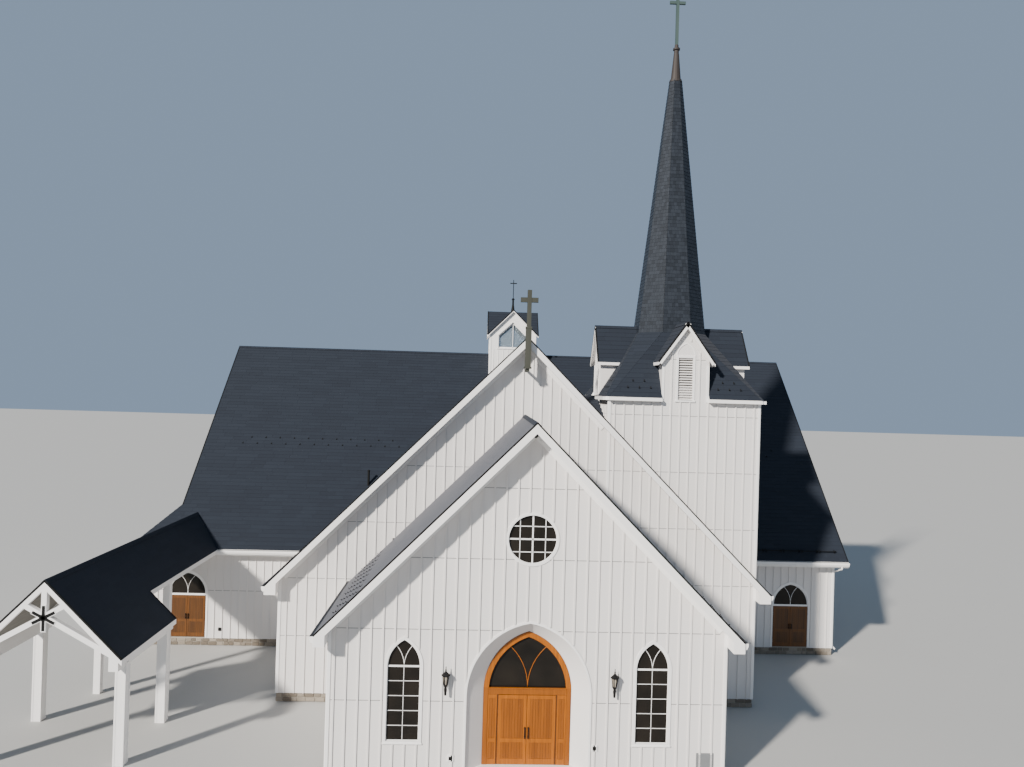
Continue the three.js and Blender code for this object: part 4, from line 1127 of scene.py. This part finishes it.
def panelled(face, start, end, low, high, stile):
    """Stiles and rails round two panels of upright planks, with open joints between the planks."""
    bm = shell()
    left, right = sorted((start, end))
    joint, raised, sunk = 0.005, (0.0, 0.014), (0.0, 0.006)
    # stiles and rails take the lightest tone and the planks a darker one: partly painted shade of the sunk
    # panels, partly each plank's own random tone
    for ends in ((left, left + stile), (right - stile, right)):
        block(bm, face, ends, (low, high), raised, 0.0)
    inner = (left + stile, right - stile)
    panels = ((low + 0.2, LOCK_RAIL[0]), (LOCK_RAIL[1], high - 0.13))
    for rail in ((low, panels[0][0]), LOCK_RAIL, (panels[1][1], high)):
        block(bm, face, inner, rail, raised, 0.0)
    count = max(round((inner[1] - inner[0]) / sizes().plank), 1)
    wide = (inner[1] - inner[0]) / count
    rng = random.Random(200)
    for k in range(count):
        u = inner[0] + wide * k
        for panel in panels:
            ends, rise = (u + joint, u + wide - joint), (panel[0] + joint, panel[1] - joint)
            block(bm, face, ends, rise, sunk, rng.uniform(0.5, 1.0))
    return bm


def door_pull(face, u, low, high):
    """Upright round pull on two short arms."""
    bm = shell()
    out = 0.055
    rod(bm, face @ Vector((u, low, out)), face @ Vector((u, high, out)), 0.018)
    for v in (low + 0.05, high - 0.05):
        for end, radius in ((out, 0.009), (0.019, 0.028)):
            rod(bm, face @ Vector((u, v, 0.012)), face @ Vector((u, v, end)), radius)
    return bm


class CHURCH_OT_side_doors(bpy.types.Operator):
    """Builds the planks, casings and fanlights of the side doors"""

    bl_idname = "church.side_doors"
    bl_label = "Side doors"

    def execute(self, context):
        size = sizes()
        wall = facing_front(TRANSEPT["front"])
        face = facing_front(TRANSEPT["front"] + SEAT)
        trim = shell()
        for name, arch in SIDE_DOORS.items():
            casing = arch_ring(wall, arch._replace(low=0.2), size.casing, 0.012, 0.0, 0.03)
            saw(casing, Vector((0, 0, FLOOR)), Vector((0, 0, -1)))
            pour(trim, casing)
            light = arch._replace(low=SIDE_BAR[0] + 0.01)
            pour(trim, arch_ring(wall, light, 0.0, -0.04, -0.03, -0.002))
            block(trim, wall, (arch.middle - arch.half, arch.middle + arch.half), SIDE_BAR, (-0.03, 0.012))
            bar = (arch.middle - 0.015, arch.middle + 0.015)
            block(trim, wall, bar, (SIDE_BAR[1], arch.spring + 0.2), (-0.03, -0.006))
            tracery(trim, wall, light, 0.0, arch.spring + 0.1, size.muntin, -0.03, -0.006)
            for side, s in (("left", -1), ("right", 1)):
                hang(f"{name}_leaf_{side}", face, arch.middle, s, arch.half - 0.04, SIDE_DOOR_TOP, 0.09,
                     "walnut_wood", 1.62)
        finish("side_door_trim", trim, "trim_paint", soft=SOFT)
        return {"FINISHED"}


class CHURCH_OT_canopy(bpy.types.Operator):
    """Adds the boarded soffit, the truss plates and the trim of the posts of the canopy"""

    bl_idname = "church.canopy"
    bl_label = "Canopy"

    def execute(self, context):
        self.soffit()
        self.plates()
        return {"FINISHED"}

    def soffit(self):
        boards = shell()
        x, ridge, wide, narrow = (CANOPY[k] for k in ("x", "ridge", "wide", "narrow"))
        front, step, drop = CANOPY["front"], CANOPY["step"], CANOPY["roof"]
        under = -drop / math.sqrt(2)
        rng = random.Random(300)
        pitch, joint = 0.14, 0.008
        depth = (under - 0.014, under - 0.001)
        last = wide * math.sqrt(2) - 0.16
        inner = (wide - narrow) * math.sqrt(2) + 0.02
        for s in (-1, 1):
            place = side_slope(x, wide, ridge, s)
            for y0, y1, v in ((front + 0.06, step - 0.05, 0.1), (step, TRANSEPT["front"] - 0.02, inner)):
                ends = sorted((s * y0, s * y1))
                while v < last:
                    block(boards, place, ends, (v, v + pitch - joint), depth, rng.random())
                    v += pitch
        finish("canopy_soffit", boards, "soffit_wood")

    def plates(self):
        dark = shell()
        white = shell()
        x = CANOPY["x"]
        face = plane((x, CANOPY["front"], PLATE["height"]), (1, 0, 0), (0, 0, 1))
        for work, grow, depth in ((white, PLATE["rim"], (0.001, 0.012)), (dark, 0.0, (0.012, 0.02))):
            half, arm = PLATE["half"] + grow, PLATE["arm"] + grow
            block(work, face, (-half, half), (PLATE["low"] - grow, PLATE["high"] + grow), depth)
            for turn in (QUARTER * 0.6, QUARTER * -0.6):
                block(work, face @ Matrix.Rotation(turn, 4, "Z"), (-arm, arm), (-half, half), depth)
        reach_x, half = POSTS["reach"], POSTS["half"]
        for s in (-1, 1):
            for y in POSTS["y"]:
                post = plane((x + s * reach_x, y, 0), (1, 0, 0), (0, 0, 1))
                for k in range(4):
                    side = post @ Matrix.Rotation(k * math.pi / 2, 4, "Y") @ Matrix.Translation((0, 0, half))
                    for ends in ((-0.185, -0.115), (0.115, 0.185)):
                        block(white, side, ends, (0.0, POSTS["top"]), (0.0, 0.01))
        grey = shell()
        block(grey, facing_right(x + reach_x + half), BRACKET["y"], BRACKET["z"], (0.0, 0.05))
        finish("truss_plate", dark, "dark_metal", soft=0.002)
        finish("canopy_post_trim", white, "trim_paint", soft=SOFT)
        finish("post_bracket", grey, "grey_metal", soft=0.004)


def square(bm, place, middle, half, depth):
    """Square block round a middle on a wall."""
    u, v = middle
    block(bm, place, (u - half, u + half), (v - half, v + half), depth)


class CHURCH_OT_fittings(bpy.types.Operator):
    """Adds the lanterns, wall boxes, grille, vent pipe, snow rail and downspout"""

    bl_idname = "church.fittings"
    bl_label = "Fittings"

    def execute(self, context):
        metal, panes, grey, plates, dark = (shell() for k in range(5))
        wall = facing_front(FRONT)
        for x in LANTERN["x"]:
            self.lantern(metal, panes, x)
        for spot in BOXES:
            square(plates, wall, spot, 0.11, (0.0, 0.036))
            square(dark, wall, spot, 0.06, (0.036, 0.05))
        square(dark, facing_front(TRANSEPT["front"]), SIDE_BOX, 0.08, (0.0, 0.06))
        self.vent(dark)
        self.grille(grey, wall)
        finish("lanterns", metal, "dark_metal")
        finish("lantern_panes", panes, "lamp_glass")
        finish("box_plates", plates, "trim_paint", soft=0.004)
        finish("grey_fittings", grey, "grey_metal", soft=SOFT)
        finish("dark_boxes", dark, "dark_metal", soft=SOFT)
        self.rail()
        self.downspout()
        return {"FINISHED"}

    def lantern(self, metal, panes, x):
        spot = (x, FRONT - LANTERN["out"], LANTERN["foot"])
        for bm, part in ((metal, "cap"), (metal, "base"), (panes, "panes")):
            pour(bm, lathe(spot, LANTERN[part], 6))
        for k in range(6):
            ray = Vector((math.cos(k * math.pi / 3), math.sin(k * math.pi / 3), 0))
            rod(metal, *(Vector(spot) + r * ray + Vector((0, 0, z)) for r, z in LANTERN["ribs"]), 0.014, 6)
        block(metal, facing_front(FRONT), (x - 0.05, x + 0.05), LANTERN["plate"], (0.0, 0.025))
        for foot, out, head, radius in LANTERN["arms"]:
            rod(metal, (x, FRONT, foot), (x, FRONT - out, head), radius, 8)

    def grille(self, bm, wall):
        left, right = GRILLE["u"]
        block(bm, wall, GRILLE["u"], GRILLE["v"], (0.0, 0.02))
        for k in range(GRILLE["slats"]):
            v = GRILLE["v"][0] + 0.04 * (k + 1)
            block(bm, wall, (left + 0.04, right - 0.04), (v, v + 0.024), (0.02, 0.04), lean=-0.5)

    def vent(self, bm):
        foot = RIDGE - (CROSSING - VENT[1])
        for profile in (
            ((0, -0.1), (0.06, -0.1), (0.06, 0.8), (0.0, 0.8)),
            ((0.0, 0.74), (0.075, 0.74), (0.075, 0.8), (0.02, 0.83), (0.0, 0.83)),
        ):
            pour(bm, lathe((*VENT, foot), profile))

    def rail(self):
        rail = shell()
        place = transept_slope(-1)
        for k in range(5):
            start = RAIL["start"] + k * RAIL["pitch"]
            for height in RAIL["heights"]:
                bar = [place @ Vector((u, 0.55, height)) for u in (start, start + RAIL["bar"])]
                rod(rail, *bar, 0.014, 8)
            for u in (start + 0.05, start + 0.85):
                block(rail, place, (u - 0.02, u + 0.02), (0.5, 0.72), (0.015, 0.03))
                block(rail, place, (u - 0.01, u + 0.01), (0.53, 0.57), (0.015, 0.18))
        finish("snow_rail", rail, "dark_metal")

    def downspout(self):
        pipe = shell()
        top, front = RIDGE - TRANSEPT["eave"] - 0.23, CROSSING - TRANSEPT["eave"] - 0.06
        x, wall = TRANSEPT["side"] + 0.06, TRANSEPT["front"] + 0.15
        points = (
            (x + 0.1, front, top + 0.02), (x + 0.1, front, top - 0.12), (x, wall, top - 0.42),
            (x, wall, SILL + 0.1), (x + 0.14, wall - 0.03, SILL - 0.08),
        )
        for a, b in zip(points, points[1:]):
            rod(pipe, a, b, 0.042)
        finish("downspout", pipe, "trim_paint")


class CHURCH_OT_stones(bpy.types.Operator):
    """Lays the field stones of the foundation"""

    bl_idname = "church.stones"
    bl_label = "Foundation stones"

    def execute(self, context):
        rng = random.Random(5)
        inset = 0.03
        half, nave, side, lean = NARTHEX["half"], NAVE["half"], TRANSEPT["side"], LEAN["side"]
        runs = [
            (facing_front(FRONT + inset), -half, half),
            (facing_left(-half + inset), -NAVE["front"], -FRONT),
            (facing_right(half - inset), FRONT, NAVE["front"]),
            (facing_front(NAVE["front"] + inset), -nave, -half),
            (facing_front(NAVE["front"] + inset), half, nave),
            (facing_left(-nave + inset), -TRANSEPT["front"], -NAVE["front"]),
            (facing_right(nave - inset), NAVE["front"], TRANSEPT["front"]),
            (facing_front(TRANSEPT["front"] + inset), -lean, -nave),
            (facing_front(TRANSEPT["front"] + inset), nave, side),
            (facing_left(-lean + inset), -TRANSEPT["rear"], -TRANSEPT["front"]),
            (facing_right(side - inset), TRANSEPT["front"], TRANSEPT["rear"]),
            (facing_rear(TRANSEPT["rear"] - inset), -side, lean),
        ]
        stones = shell()
        for place, start, end in runs:
            for low, high in ((0.0, 0.185), (0.185, 0.355)):
                u = start + 0.02
                while u < end - 0.12:
                    wide = min(sizes().stone * rng.uniform(0.55, 1.35), end - 0.02 - u)
                    ends, rise = (u + 0.008, u + wide - 0.008), (low + 0.006, high - 0.006)
                    for vert in block(stones, place, ends, rise, (-0.04, BOARD), rng.random()):
                        shake = Vector([rng.uniform(-1, 1) for axis in range(3)])
                        vert.co += 0.012 * Vector((shake.x, shake.y, max(shake.z, -0.2)))
                    u += wide
        ease(stones, 0.028, 2)
        finish("foundation_stones", stones, "field_stone")
        return {"FINISHED"}


# finishes

def node(tree, kind, inputs=None, **settings):
    """Adds a shader node: an input given as a socket is linked, and any other is set."""
    made = tree.nodes.new("ShaderNode" + kind)
    for name, value in settings.items():
        setattr(made, name, value)
    for name, value in (inputs or {}).items():
        socket = made.inputs[name]
        if isinstance(value, bpy.types.NodeSocket):
            tree.links.new(value, socket)
        else:
            socket.default_value = value
    return made


def mixed(tree, factor, first, second):
    """Colour mixed of two."""
    return node(tree, "Mix", {0: factor, 6: first, 7: second}, data_type="RGBA").outputs[2]


def times(tree, first, second, plus=0.0, **settings):
    """One value times another, and a third added to it."""
    parts = {0: first, 1: second, 2: plus}
    return node(tree, "Math", parts, operation="MULTIPLY_ADD", **settings).outputs[0]


def group(name, inputs, outputs):
    """Empty shader node group with its sockets, and its input and output nodes."""
    tree = bpy.data.node_groups.new(name, "ShaderNodeTree")
    for label, kind, default in inputs:
        socket = tree.interface.new_socket(label, in_out="INPUT", socket_type="NodeSocket" + kind)
        if default is not None:
            socket.default_value = default
    for label, kind in outputs:
        tree.interface.new_socket(label, in_out="OUTPUT", socket_type="NodeSocket" + kind)
    source = tree.nodes.new("NodeGroupInput").outputs
    target = tree.nodes.new("NodeGroupOutput").inputs
    return tree, source, target


def make_weathering():
    """Soft patches, streaks that run down and a fine tooth."""
    tree, source, target = group("weathering", [
        ("Vector", "Vector", None), ("Base", "Color", (1, 1, 1, 1)), ("Patches", "Float", 0.1),
        ("Streaks", "Float", 0.1), ("Roughness", "Float", 0.6),
    ], [("Color", "Color"), ("Roughness", "Float"), ("Height", "Float")])
    patch = node(tree, "TexNoise", {"Vector": source["Vector"], "Scale": 0.35, "Detail": 4.0})
    drawn = node(tree, "Mapping", {"Vector": source["Vector"], "Scale": (5.0, 5.0, 0.22)})
    streak = node(tree, "TexNoise", {"Vector": drawn.outputs[0], "Scale": 1.0, "Detail": 3.0})
    tooth = node(tree, "TexNoise", {"Vector": source["Vector"], "Scale": 60.0, "Detail": 2.0})
    stain = times(tree, patch.outputs[0], source["Patches"])
    run = times(tree, streak.outputs[0], source["Streaks"])
    stained = mixed(tree, stain, source["Base"], (0.42, 0.40, 0.36, 1))
    tree.links.new(mixed(tree, run, stained, (0.30, 0.29, 0.28, 1)), target["Color"])
    tree.links.new(times(tree, patch.outputs[0], 0.2, source["Roughness"]), target["Roughness"])
    tree.links.new(tooth.outputs[0], target["Height"])


def make_grain():
    """Wood grain that runs up the boards."""
    tree, source, target = group("wood_grain", [
        ("Vector", "Vector", None), ("Light", "Color", (1, 1, 1, 1)), ("Dark", "Color", (0, 0, 0, 1)),
        ("Stretch", "Vector", (16.0, 16.0, 0.8)), ("Boards", "Float", 0.7),
    ], [("Color", "Color"), ("Height", "Float")])
    drawn = node(tree, "Mapping", {"Vector": source["Vector"], "Scale": source["Stretch"]})
    fibre = node(
        tree, "TexNoise", {"Vector": drawn.outputs[0], "Scale": 1.0, "Detail": 6.0, "Distortion": 0.6})
    sharp = node(tree, "MapRange", {0: fibre.outputs[0], 1: 0.35, 2: 0.7, 3: 0.45, 4: 1.0})
    shade = node(tree, "Attribute", attribute_name="shade")
    board = times(tree, shade.outputs["Fac"], source["Boards"])
    tone = mixed(tree, board, source["Light"], source["Dark"])
    tree.links.new(mixed(tree, sharp.outputs[0], source["Dark"], tone), target["Color"])
    tree.links.new(fibre.outputs[0], target["Height"])


def make_pieces():
    """Tone of each shingle, slate or stone from its shade, with mineral specks."""
    tree, source, target = group("piece_tones", [
        ("Vector", "Vector", None), ("Light", "Color", (1, 1, 1, 1)), ("Dark", "Color", (0, 0, 0, 1)),
        ("Contrast", "Float", 1.0), ("Specks", "Float", 80.0), ("Patches", "Float", 0.3),
    ], [("Color", "Color"), ("Height", "Float")])
    shade = node(tree, "Attribute", attribute_name="shade")
    patch = node(tree, "TexNoise", {"Vector": source["Vector"], "Scale": 0.5, "Detail": 3.0})
    speck = node(tree, "TexNoise", {"Vector": source["Vector"], "Scale": source["Specks"], "Detail": 3.0})
    own = times(tree, shade.outputs["Fac"], source["Contrast"])
    wide = times(tree, patch.outputs[0], source["Patches"], own)
    both = times(tree, speck.outputs[0], 0.35, wide, use_clamp=True)
    tree.links.new(mixed(tree, both, source["Light"], source["Dark"]), target["Color"])
    tree.links.new(speck.outputs[0], target["Height"])


def material(name, roughness, **settings):
    """Empty material with its shader, and the coordinates that its patterns read."""
    made = bpy.data.materials.new(name)
    made.use_nodes = True
    tree = made.node_tree
    shader = tree.nodes["Principled BSDF"]
    shader.inputs["Roughness"].default_value = roughness
    for label, value in settings.items():
        shader.inputs[label.replace("_", " ").title().replace("Ior", "IOR")].default_value = value
    return tree, shader, node(tree, "TexCoord").outputs["Object"]


def use(tree, name, **inputs):
    """Places a shared node group in a material."""
    made = tree.nodes.new("ShaderNodeGroup")
    made.node_tree = bpy.data.node_groups[name]
    for label, value in inputs.items():
        socket = made.inputs[label.title()]
        if isinstance(value, bpy.types.NodeSocket):
            tree.links.new(value, socket)
        else:
            socket.default_value = value
    return made.outputs


def relief(tree, shader, height, strength, distance):
    bump = node(tree, "Bump", {"Height": height, "Strength": strength, "Distance": distance})
    tree.links.new(bump.outputs[0], shader.inputs["Normal"])


def painted(name, finish_colour, patches, streaks, roughness=0.5, tooth=0.15):
    tree, shader, spot = material(name, roughness)
    made = use(
        tree, "weathering", vector=spot, base=paint(finish_colour), patches=patches, streaks=streaks,
        roughness=roughness)
    tree.links.new(made["Color"], shader.inputs["Base Color"])
    tree.links.new(made["Roughness"], shader.inputs["Roughness"])
    relief(tree, shader, made["Height"], tooth, 0.002)
    return tree, shader, made


def wooden(name, light, dark, roughness, stretch):
    tree, shader, spot = material(name, roughness)
    made = use(tree, "wood_grain", vector=spot, light=paint(light), dark=paint(dark), stretch=stretch)
    tree.links.new(made["Color"], shader.inputs["Base Color"])
    relief(tree, shader, made["Height"], 0.25, 0.002)


def pieced(name, light, dark, contrast, specks, patches, roughness, depth, sheen):
    tree, shader, spot = material(name, roughness)
    made = use(
        tree, "piece_tones", vector=spot, light=paint(light), dark=paint(dark), contrast=contrast,
        specks=specks, patches=patches)
    shader.inputs["Specular IOR Level"].default_value = 0.25
    shader.inputs["Sheen Weight"].default_value = sheen
    shader.inputs["Sheen Tint"].default_value = (0.96, 0.93, 0.96, 1.0)
    tree.links.new(made["Color"], shader.inputs["Base Color"])
    relief(tree, shader, made["Height"], 0.5, depth)


def roof_deck():
    """White paint on the edges and soffits of a roof, and its covering's colour on what faces up."""
    tree, shader, made = painted("roof_deck", "trim", 0.06, 0.05)
    normal = node(tree, "NewGeometry").outputs["Normal"]
    up = node(tree, "SeparateXYZ", {0: normal}).outputs["Z"]
    mask = node(tree, "Math", {0: up, 1: 0.05}, operation="GREATER_THAN").outputs[0]
    tree.links.new(mixed(tree, mask, made["Color"], paint("shingle_dark")), shader.inputs["Base Color"])


def tinted(name, roughness, noise, first, second, **settings):
    """Glass whose tone drifts from one colour to another."""
    tree, shader, spot = material(name, roughness, **settings)
    wave = node(tree, "TexNoise", {"Vector": spot, **noise}).outputs[0]
    tree.links.new(mixed(tree, wave, first, second), shader.inputs["Base Color"])
    return tree, shader, wave


def glazing():
    # window panes: opaque and dark, as painted shade of the unlit inside behind them
    tree, shader, wave = tinted(
        "interior_shade_glass", 0.06, {"Scale": 1.3, "Detail": 1.0}, paint("glass"), (0.020, 0.016, 0.012, 1),
        ior=1.5, specular_ior_level=0.2)
    relief(tree, shader, wave, 0.05, 0.01)
    # cupola panes: their pale blue colour is a painted reflection of the sky
    tinted(
        "sky_tinted_glass", 0.05, {"Scale": 2.0}, (0.62, 0.72, 0.78, 1), (0.75, 0.82, 0.86, 1),
        ior=1.45, transmission_weight=0.85)
    tinted("lamp_glass", 0.25, {"Scale": 12.0}, paint("lamp"), (0.3, 0.26, 0.21, 1))


# painted finishes: name, colour, patches, streaks, roughness and tooth
PAINTS = (
    ("board_paint", "siding", 0.1, 0.1, 0.55, 0.2), ("smooth_paint", "siding", 0.06, 0.04, 0.5, 0.1),
    ("trim_paint", "trim", 0.05, 0.05, 0.45, 0.08), ("mortar_bed", "mortar", 0.3, 0.2, 0.8, 0.5),
    ("slate_bed", "slate_dark", 0.2, 0.2, 0.7, 0.3),
)
# metals: name, colour, roughness, metallic share and wear
METALS = (
    ("dark_metal", "metal", 0.6, 0.0, 0.01), ("grey_metal", "grey_metal", 0.45, 0.5, 0.1),
    ("cap_copper", "copper", 0.5, 0.1, 0.1), ("gable_bronze", "bronze", 0.55, 0.15, 0.1),
    ("spire_verdigris", "verdigris", 0.6, 0.3, 0.1), ("flashing_metal", "flashing", 0.5, 0.3, 0.1),
)
# woods: name, light colour, dark colour, roughness and stretch of the grain
UPRIGHT, ALONG = (16.0, 16.0, 0.8), (16.0, 0.8, 16.0)
WOODS = (
    ("oak_wood", "oak", "oak_dark", 0.4, UPRIGHT), ("walnut_wood", "walnut", "walnut_dark", 0.5, UPRIGHT),
    # the darker wood of the main door's leaves and frame shows through the open joints between the planks as
    # painted shade of those grooves
    ("groove_shade_wood", "oak_dark", "walnut_dark", 0.5, UPRIGHT),
    ("soffit_wood", "soffit", "soffit_dark", 0.6, ALONG),
)
# pieced finishes: name, light colour, dark colour, contrast, specks, patches, roughness, depth and sheen
PIECED = (
    ("shingle_roof", "shingle", "shingle_dark", 0.25, 90.0, 0.25, 0.85, 0.004, 0.05),
    ("glinting_shingle", "shingle", "shingle_dark", 0.25, 90.0, 0.25, 0.85, 0.004, 0.4),
    ("spire_slate", "slate", "slate_dark", 0.5, 30.0, 0.1, 0.5, 0.003, 0.0),
    ("field_stone", "stone", "stone_dark", 0.75, 22.0, 0.2, 0.8, 0.012, 0.0),
)

# finish of the nodes of each slot, and of the nodes that have their own
FINISHES = {
    "siding": "board_paint", "roof": "roof_deck", "stone": "mortar_bed", "trim": "trim_paint",
    # the glass slot takes dark opaque panes, painted shade of the inside behind the windows
    "wood": "oak_wood", "glass": "interior_shade_glass", "slate": "slate_bed", "copper": "cap_copper",
    "bronze": "gable_bronze", "verdigris": "spire_verdigris",
}
OWN_FINISHES = {
    # the cupola glass is tinted pale blue as a painted reflection of the sky
    "cupola_glass": "sky_tinted_glass", "cupola_finial": "dark_metal", "portal_jamb_left": "smooth_paint",
    # the main door's leaves and frame take darker wood as painted shade in the joints between the planks
    "portal_jamb_right": "smooth_paint", "main_leaf_left": "groove_shade_wood", "main_leaf_right": "groove_shade_wood",
    "main_door_frame": "groove_shade_wood", "left_leaf_left": "walnut_wood", "left_leaf_right": "walnut_wood",
    "right_leaf_left": "walnut_wood", "right_leaf_right": "walnut_wood",
}


class CHURCH_OT_finishes(bpy.types.Operator):
    """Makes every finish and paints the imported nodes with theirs"""

    bl_idname = "church.finishes"
    bl_label = "Finishes"

    def execute(self, context):
        make_weathering()
        make_grain()
        make_pieces()
        for row in PAINTS:
            painted(*row)
        roof_deck()
        for name, finish_colour, roughness, metallic, wear in METALS:
            shader = painted(name, finish_colour, wear, wear, roughness, 0.1)[1]
            shader.inputs["Metallic"].default_value = metallic
            shader.inputs["Specular IOR Level"].default_value = 0.2
        glazing()
        for row in WOODS:
            wooden(*row)
        for row in PIECED:
            pieced(*row)
        for part in frame["record"]["subparts"]:
            name = part["node"]
            chosen = OWN_FINISHES.get(name, FINISHES[part["material_slot"]])
            frame["nodes"][name].material_slots[0].material = bpy.data.materials[chosen]
        return {"FINISHED"}


class CHURCH_OT_stage(bpy.types.Operator):
    """Sets the studio floor, the soft light and the camera"""

    bl_idname = "church.stage"
    bl_label = "Studio stage"

    def execute(self, context):
        scene = context.scene
        bm = bmesh.new()
        below = Matrix.Translation((0, 0, -0.004))
        bmesh.ops.create_grid(bm, x_segments=8, y_segments=8, size=FLOOR_REACH, matrix=below)
        mesh = bpy.data.meshes.new("studio_floor")
        bm.to_mesh(mesh)
        bm.free()
        floor = bpy.data.objects.new("studio_floor", mesh)
        scene.collection.objects.link(floor)
        painted("studio_floor", "floor", 0.02, 0.0, 0.8, 0.02)
        mesh.materials.append(bpy.data.materials["studio_floor"])

        world = bpy.data.worlds.new("studio")
        world.use_nodes = True
        sky = world.node_tree.nodes["Background"]
        sky.inputs["Color"].default_value = SKY["tint"]
        sky.inputs["Strength"].default_value = SKY["strength"]
        scene.world = world

        lamp = bpy.data.lights.new("sun", "SUN")
        lamp.energy = SUN["power"]
        lamp.angle = math.radians(SUN["spread"])
        lamp.color = SUN["tint"]
        sun = bpy.data.objects.new("sun", lamp)
        azimuth, height = math.radians(SUN["azimuth"]), math.radians(SUN["height"])
        towards = Vector((
            math.sin(azimuth) * math.cos(height), -math.cos(azimuth) * math.cos(height), math.sin(height)))
        sun.rotation_euler = towards.to_track_quat("Z", "Y").to_euler()
        scene.collection.objects.link(sun)

        lens = bpy.data.cameras.new("raised_view")
        lens.lens = CAMERA["lens"]
        lens.sensor_width = 36.0
        lens.sensor_fit = "HORIZONTAL"
        lens.clip_end = 2000.0
        camera = bpy.data.objects.new("raised_view", lens)
        turn = Matrix.Rotation(math.radians(CAMERA["yaw"]), 4, "Z")
        turn = turn @ Matrix.Rotation(math.radians(90.0 + CAMERA["pitch"]), 4, "X")
        turn = turn @ Matrix.Rotation(math.radians(CAMERA["roll"]), 4, "Z")
        camera.matrix_world = Matrix.Translation(CAMERA["place"]) @ turn
        scene.collection.objects.link(camera)
        scene.camera = camera
        return {"FINISHED"}


OPERATORS = (
    CHURCH_OT_finishes, CHURCH_OT_stage, CHURCH_OT_siding, CHURCH_OT_roofs, CHURCH_OT_spire,
    CHURCH_OT_windows, CHURCH_OT_portal, CHURCH_OT_side_doors, CHURCH_OT_canopy, CHURCH_OT_fittings,
    CHURCH_OT_stones,
)


class CHURCH_PT_panel(bpy.types.Panel):
    """Lists the sizes, the colours and the pieces of the church"""

    bl_label = "Church building"
    bl_idname = "CHURCH_PT_panel"
    bl_space_type = "VIEW_3D"
    bl_region_type = "UI"
    bl_category = "Church"

    def draw(self, context):
        column = self.layout.column()
        for operator in OPERATORS:
            column.operator(operator.bl_idname)
        for settings in (context.scene.church_sizes, context.scene.church_colours):
            box = self.layout.box()
            for name in settings.__annotations__:
                box.prop(settings, name)


CLASSES = (ChurchSizes, ChurchColours, *OPERATORS, CHURCH_PT_panel)


def register():
    for item in CLASSES:
        bpy.utils.register_class(item)
    bpy.types.Scene.church_sizes = PointerProperty(type=ChurchSizes)
    bpy.types.Scene.church_colours = PointerProperty(type=ChurchColours)


def unregister():
    del bpy.types.Scene.church_colours
    del bpy.types.Scene.church_sizes
    for item in reversed(CLASSES):
        bpy.utils.unregister_class(item)


def main():
    register()
    for operator in OPERATORS:
        family, name = operator.bl_idname.split(".")
        getattr(getattr(bpy.ops, family), name)()


if __name__ == "__main__":
    main()
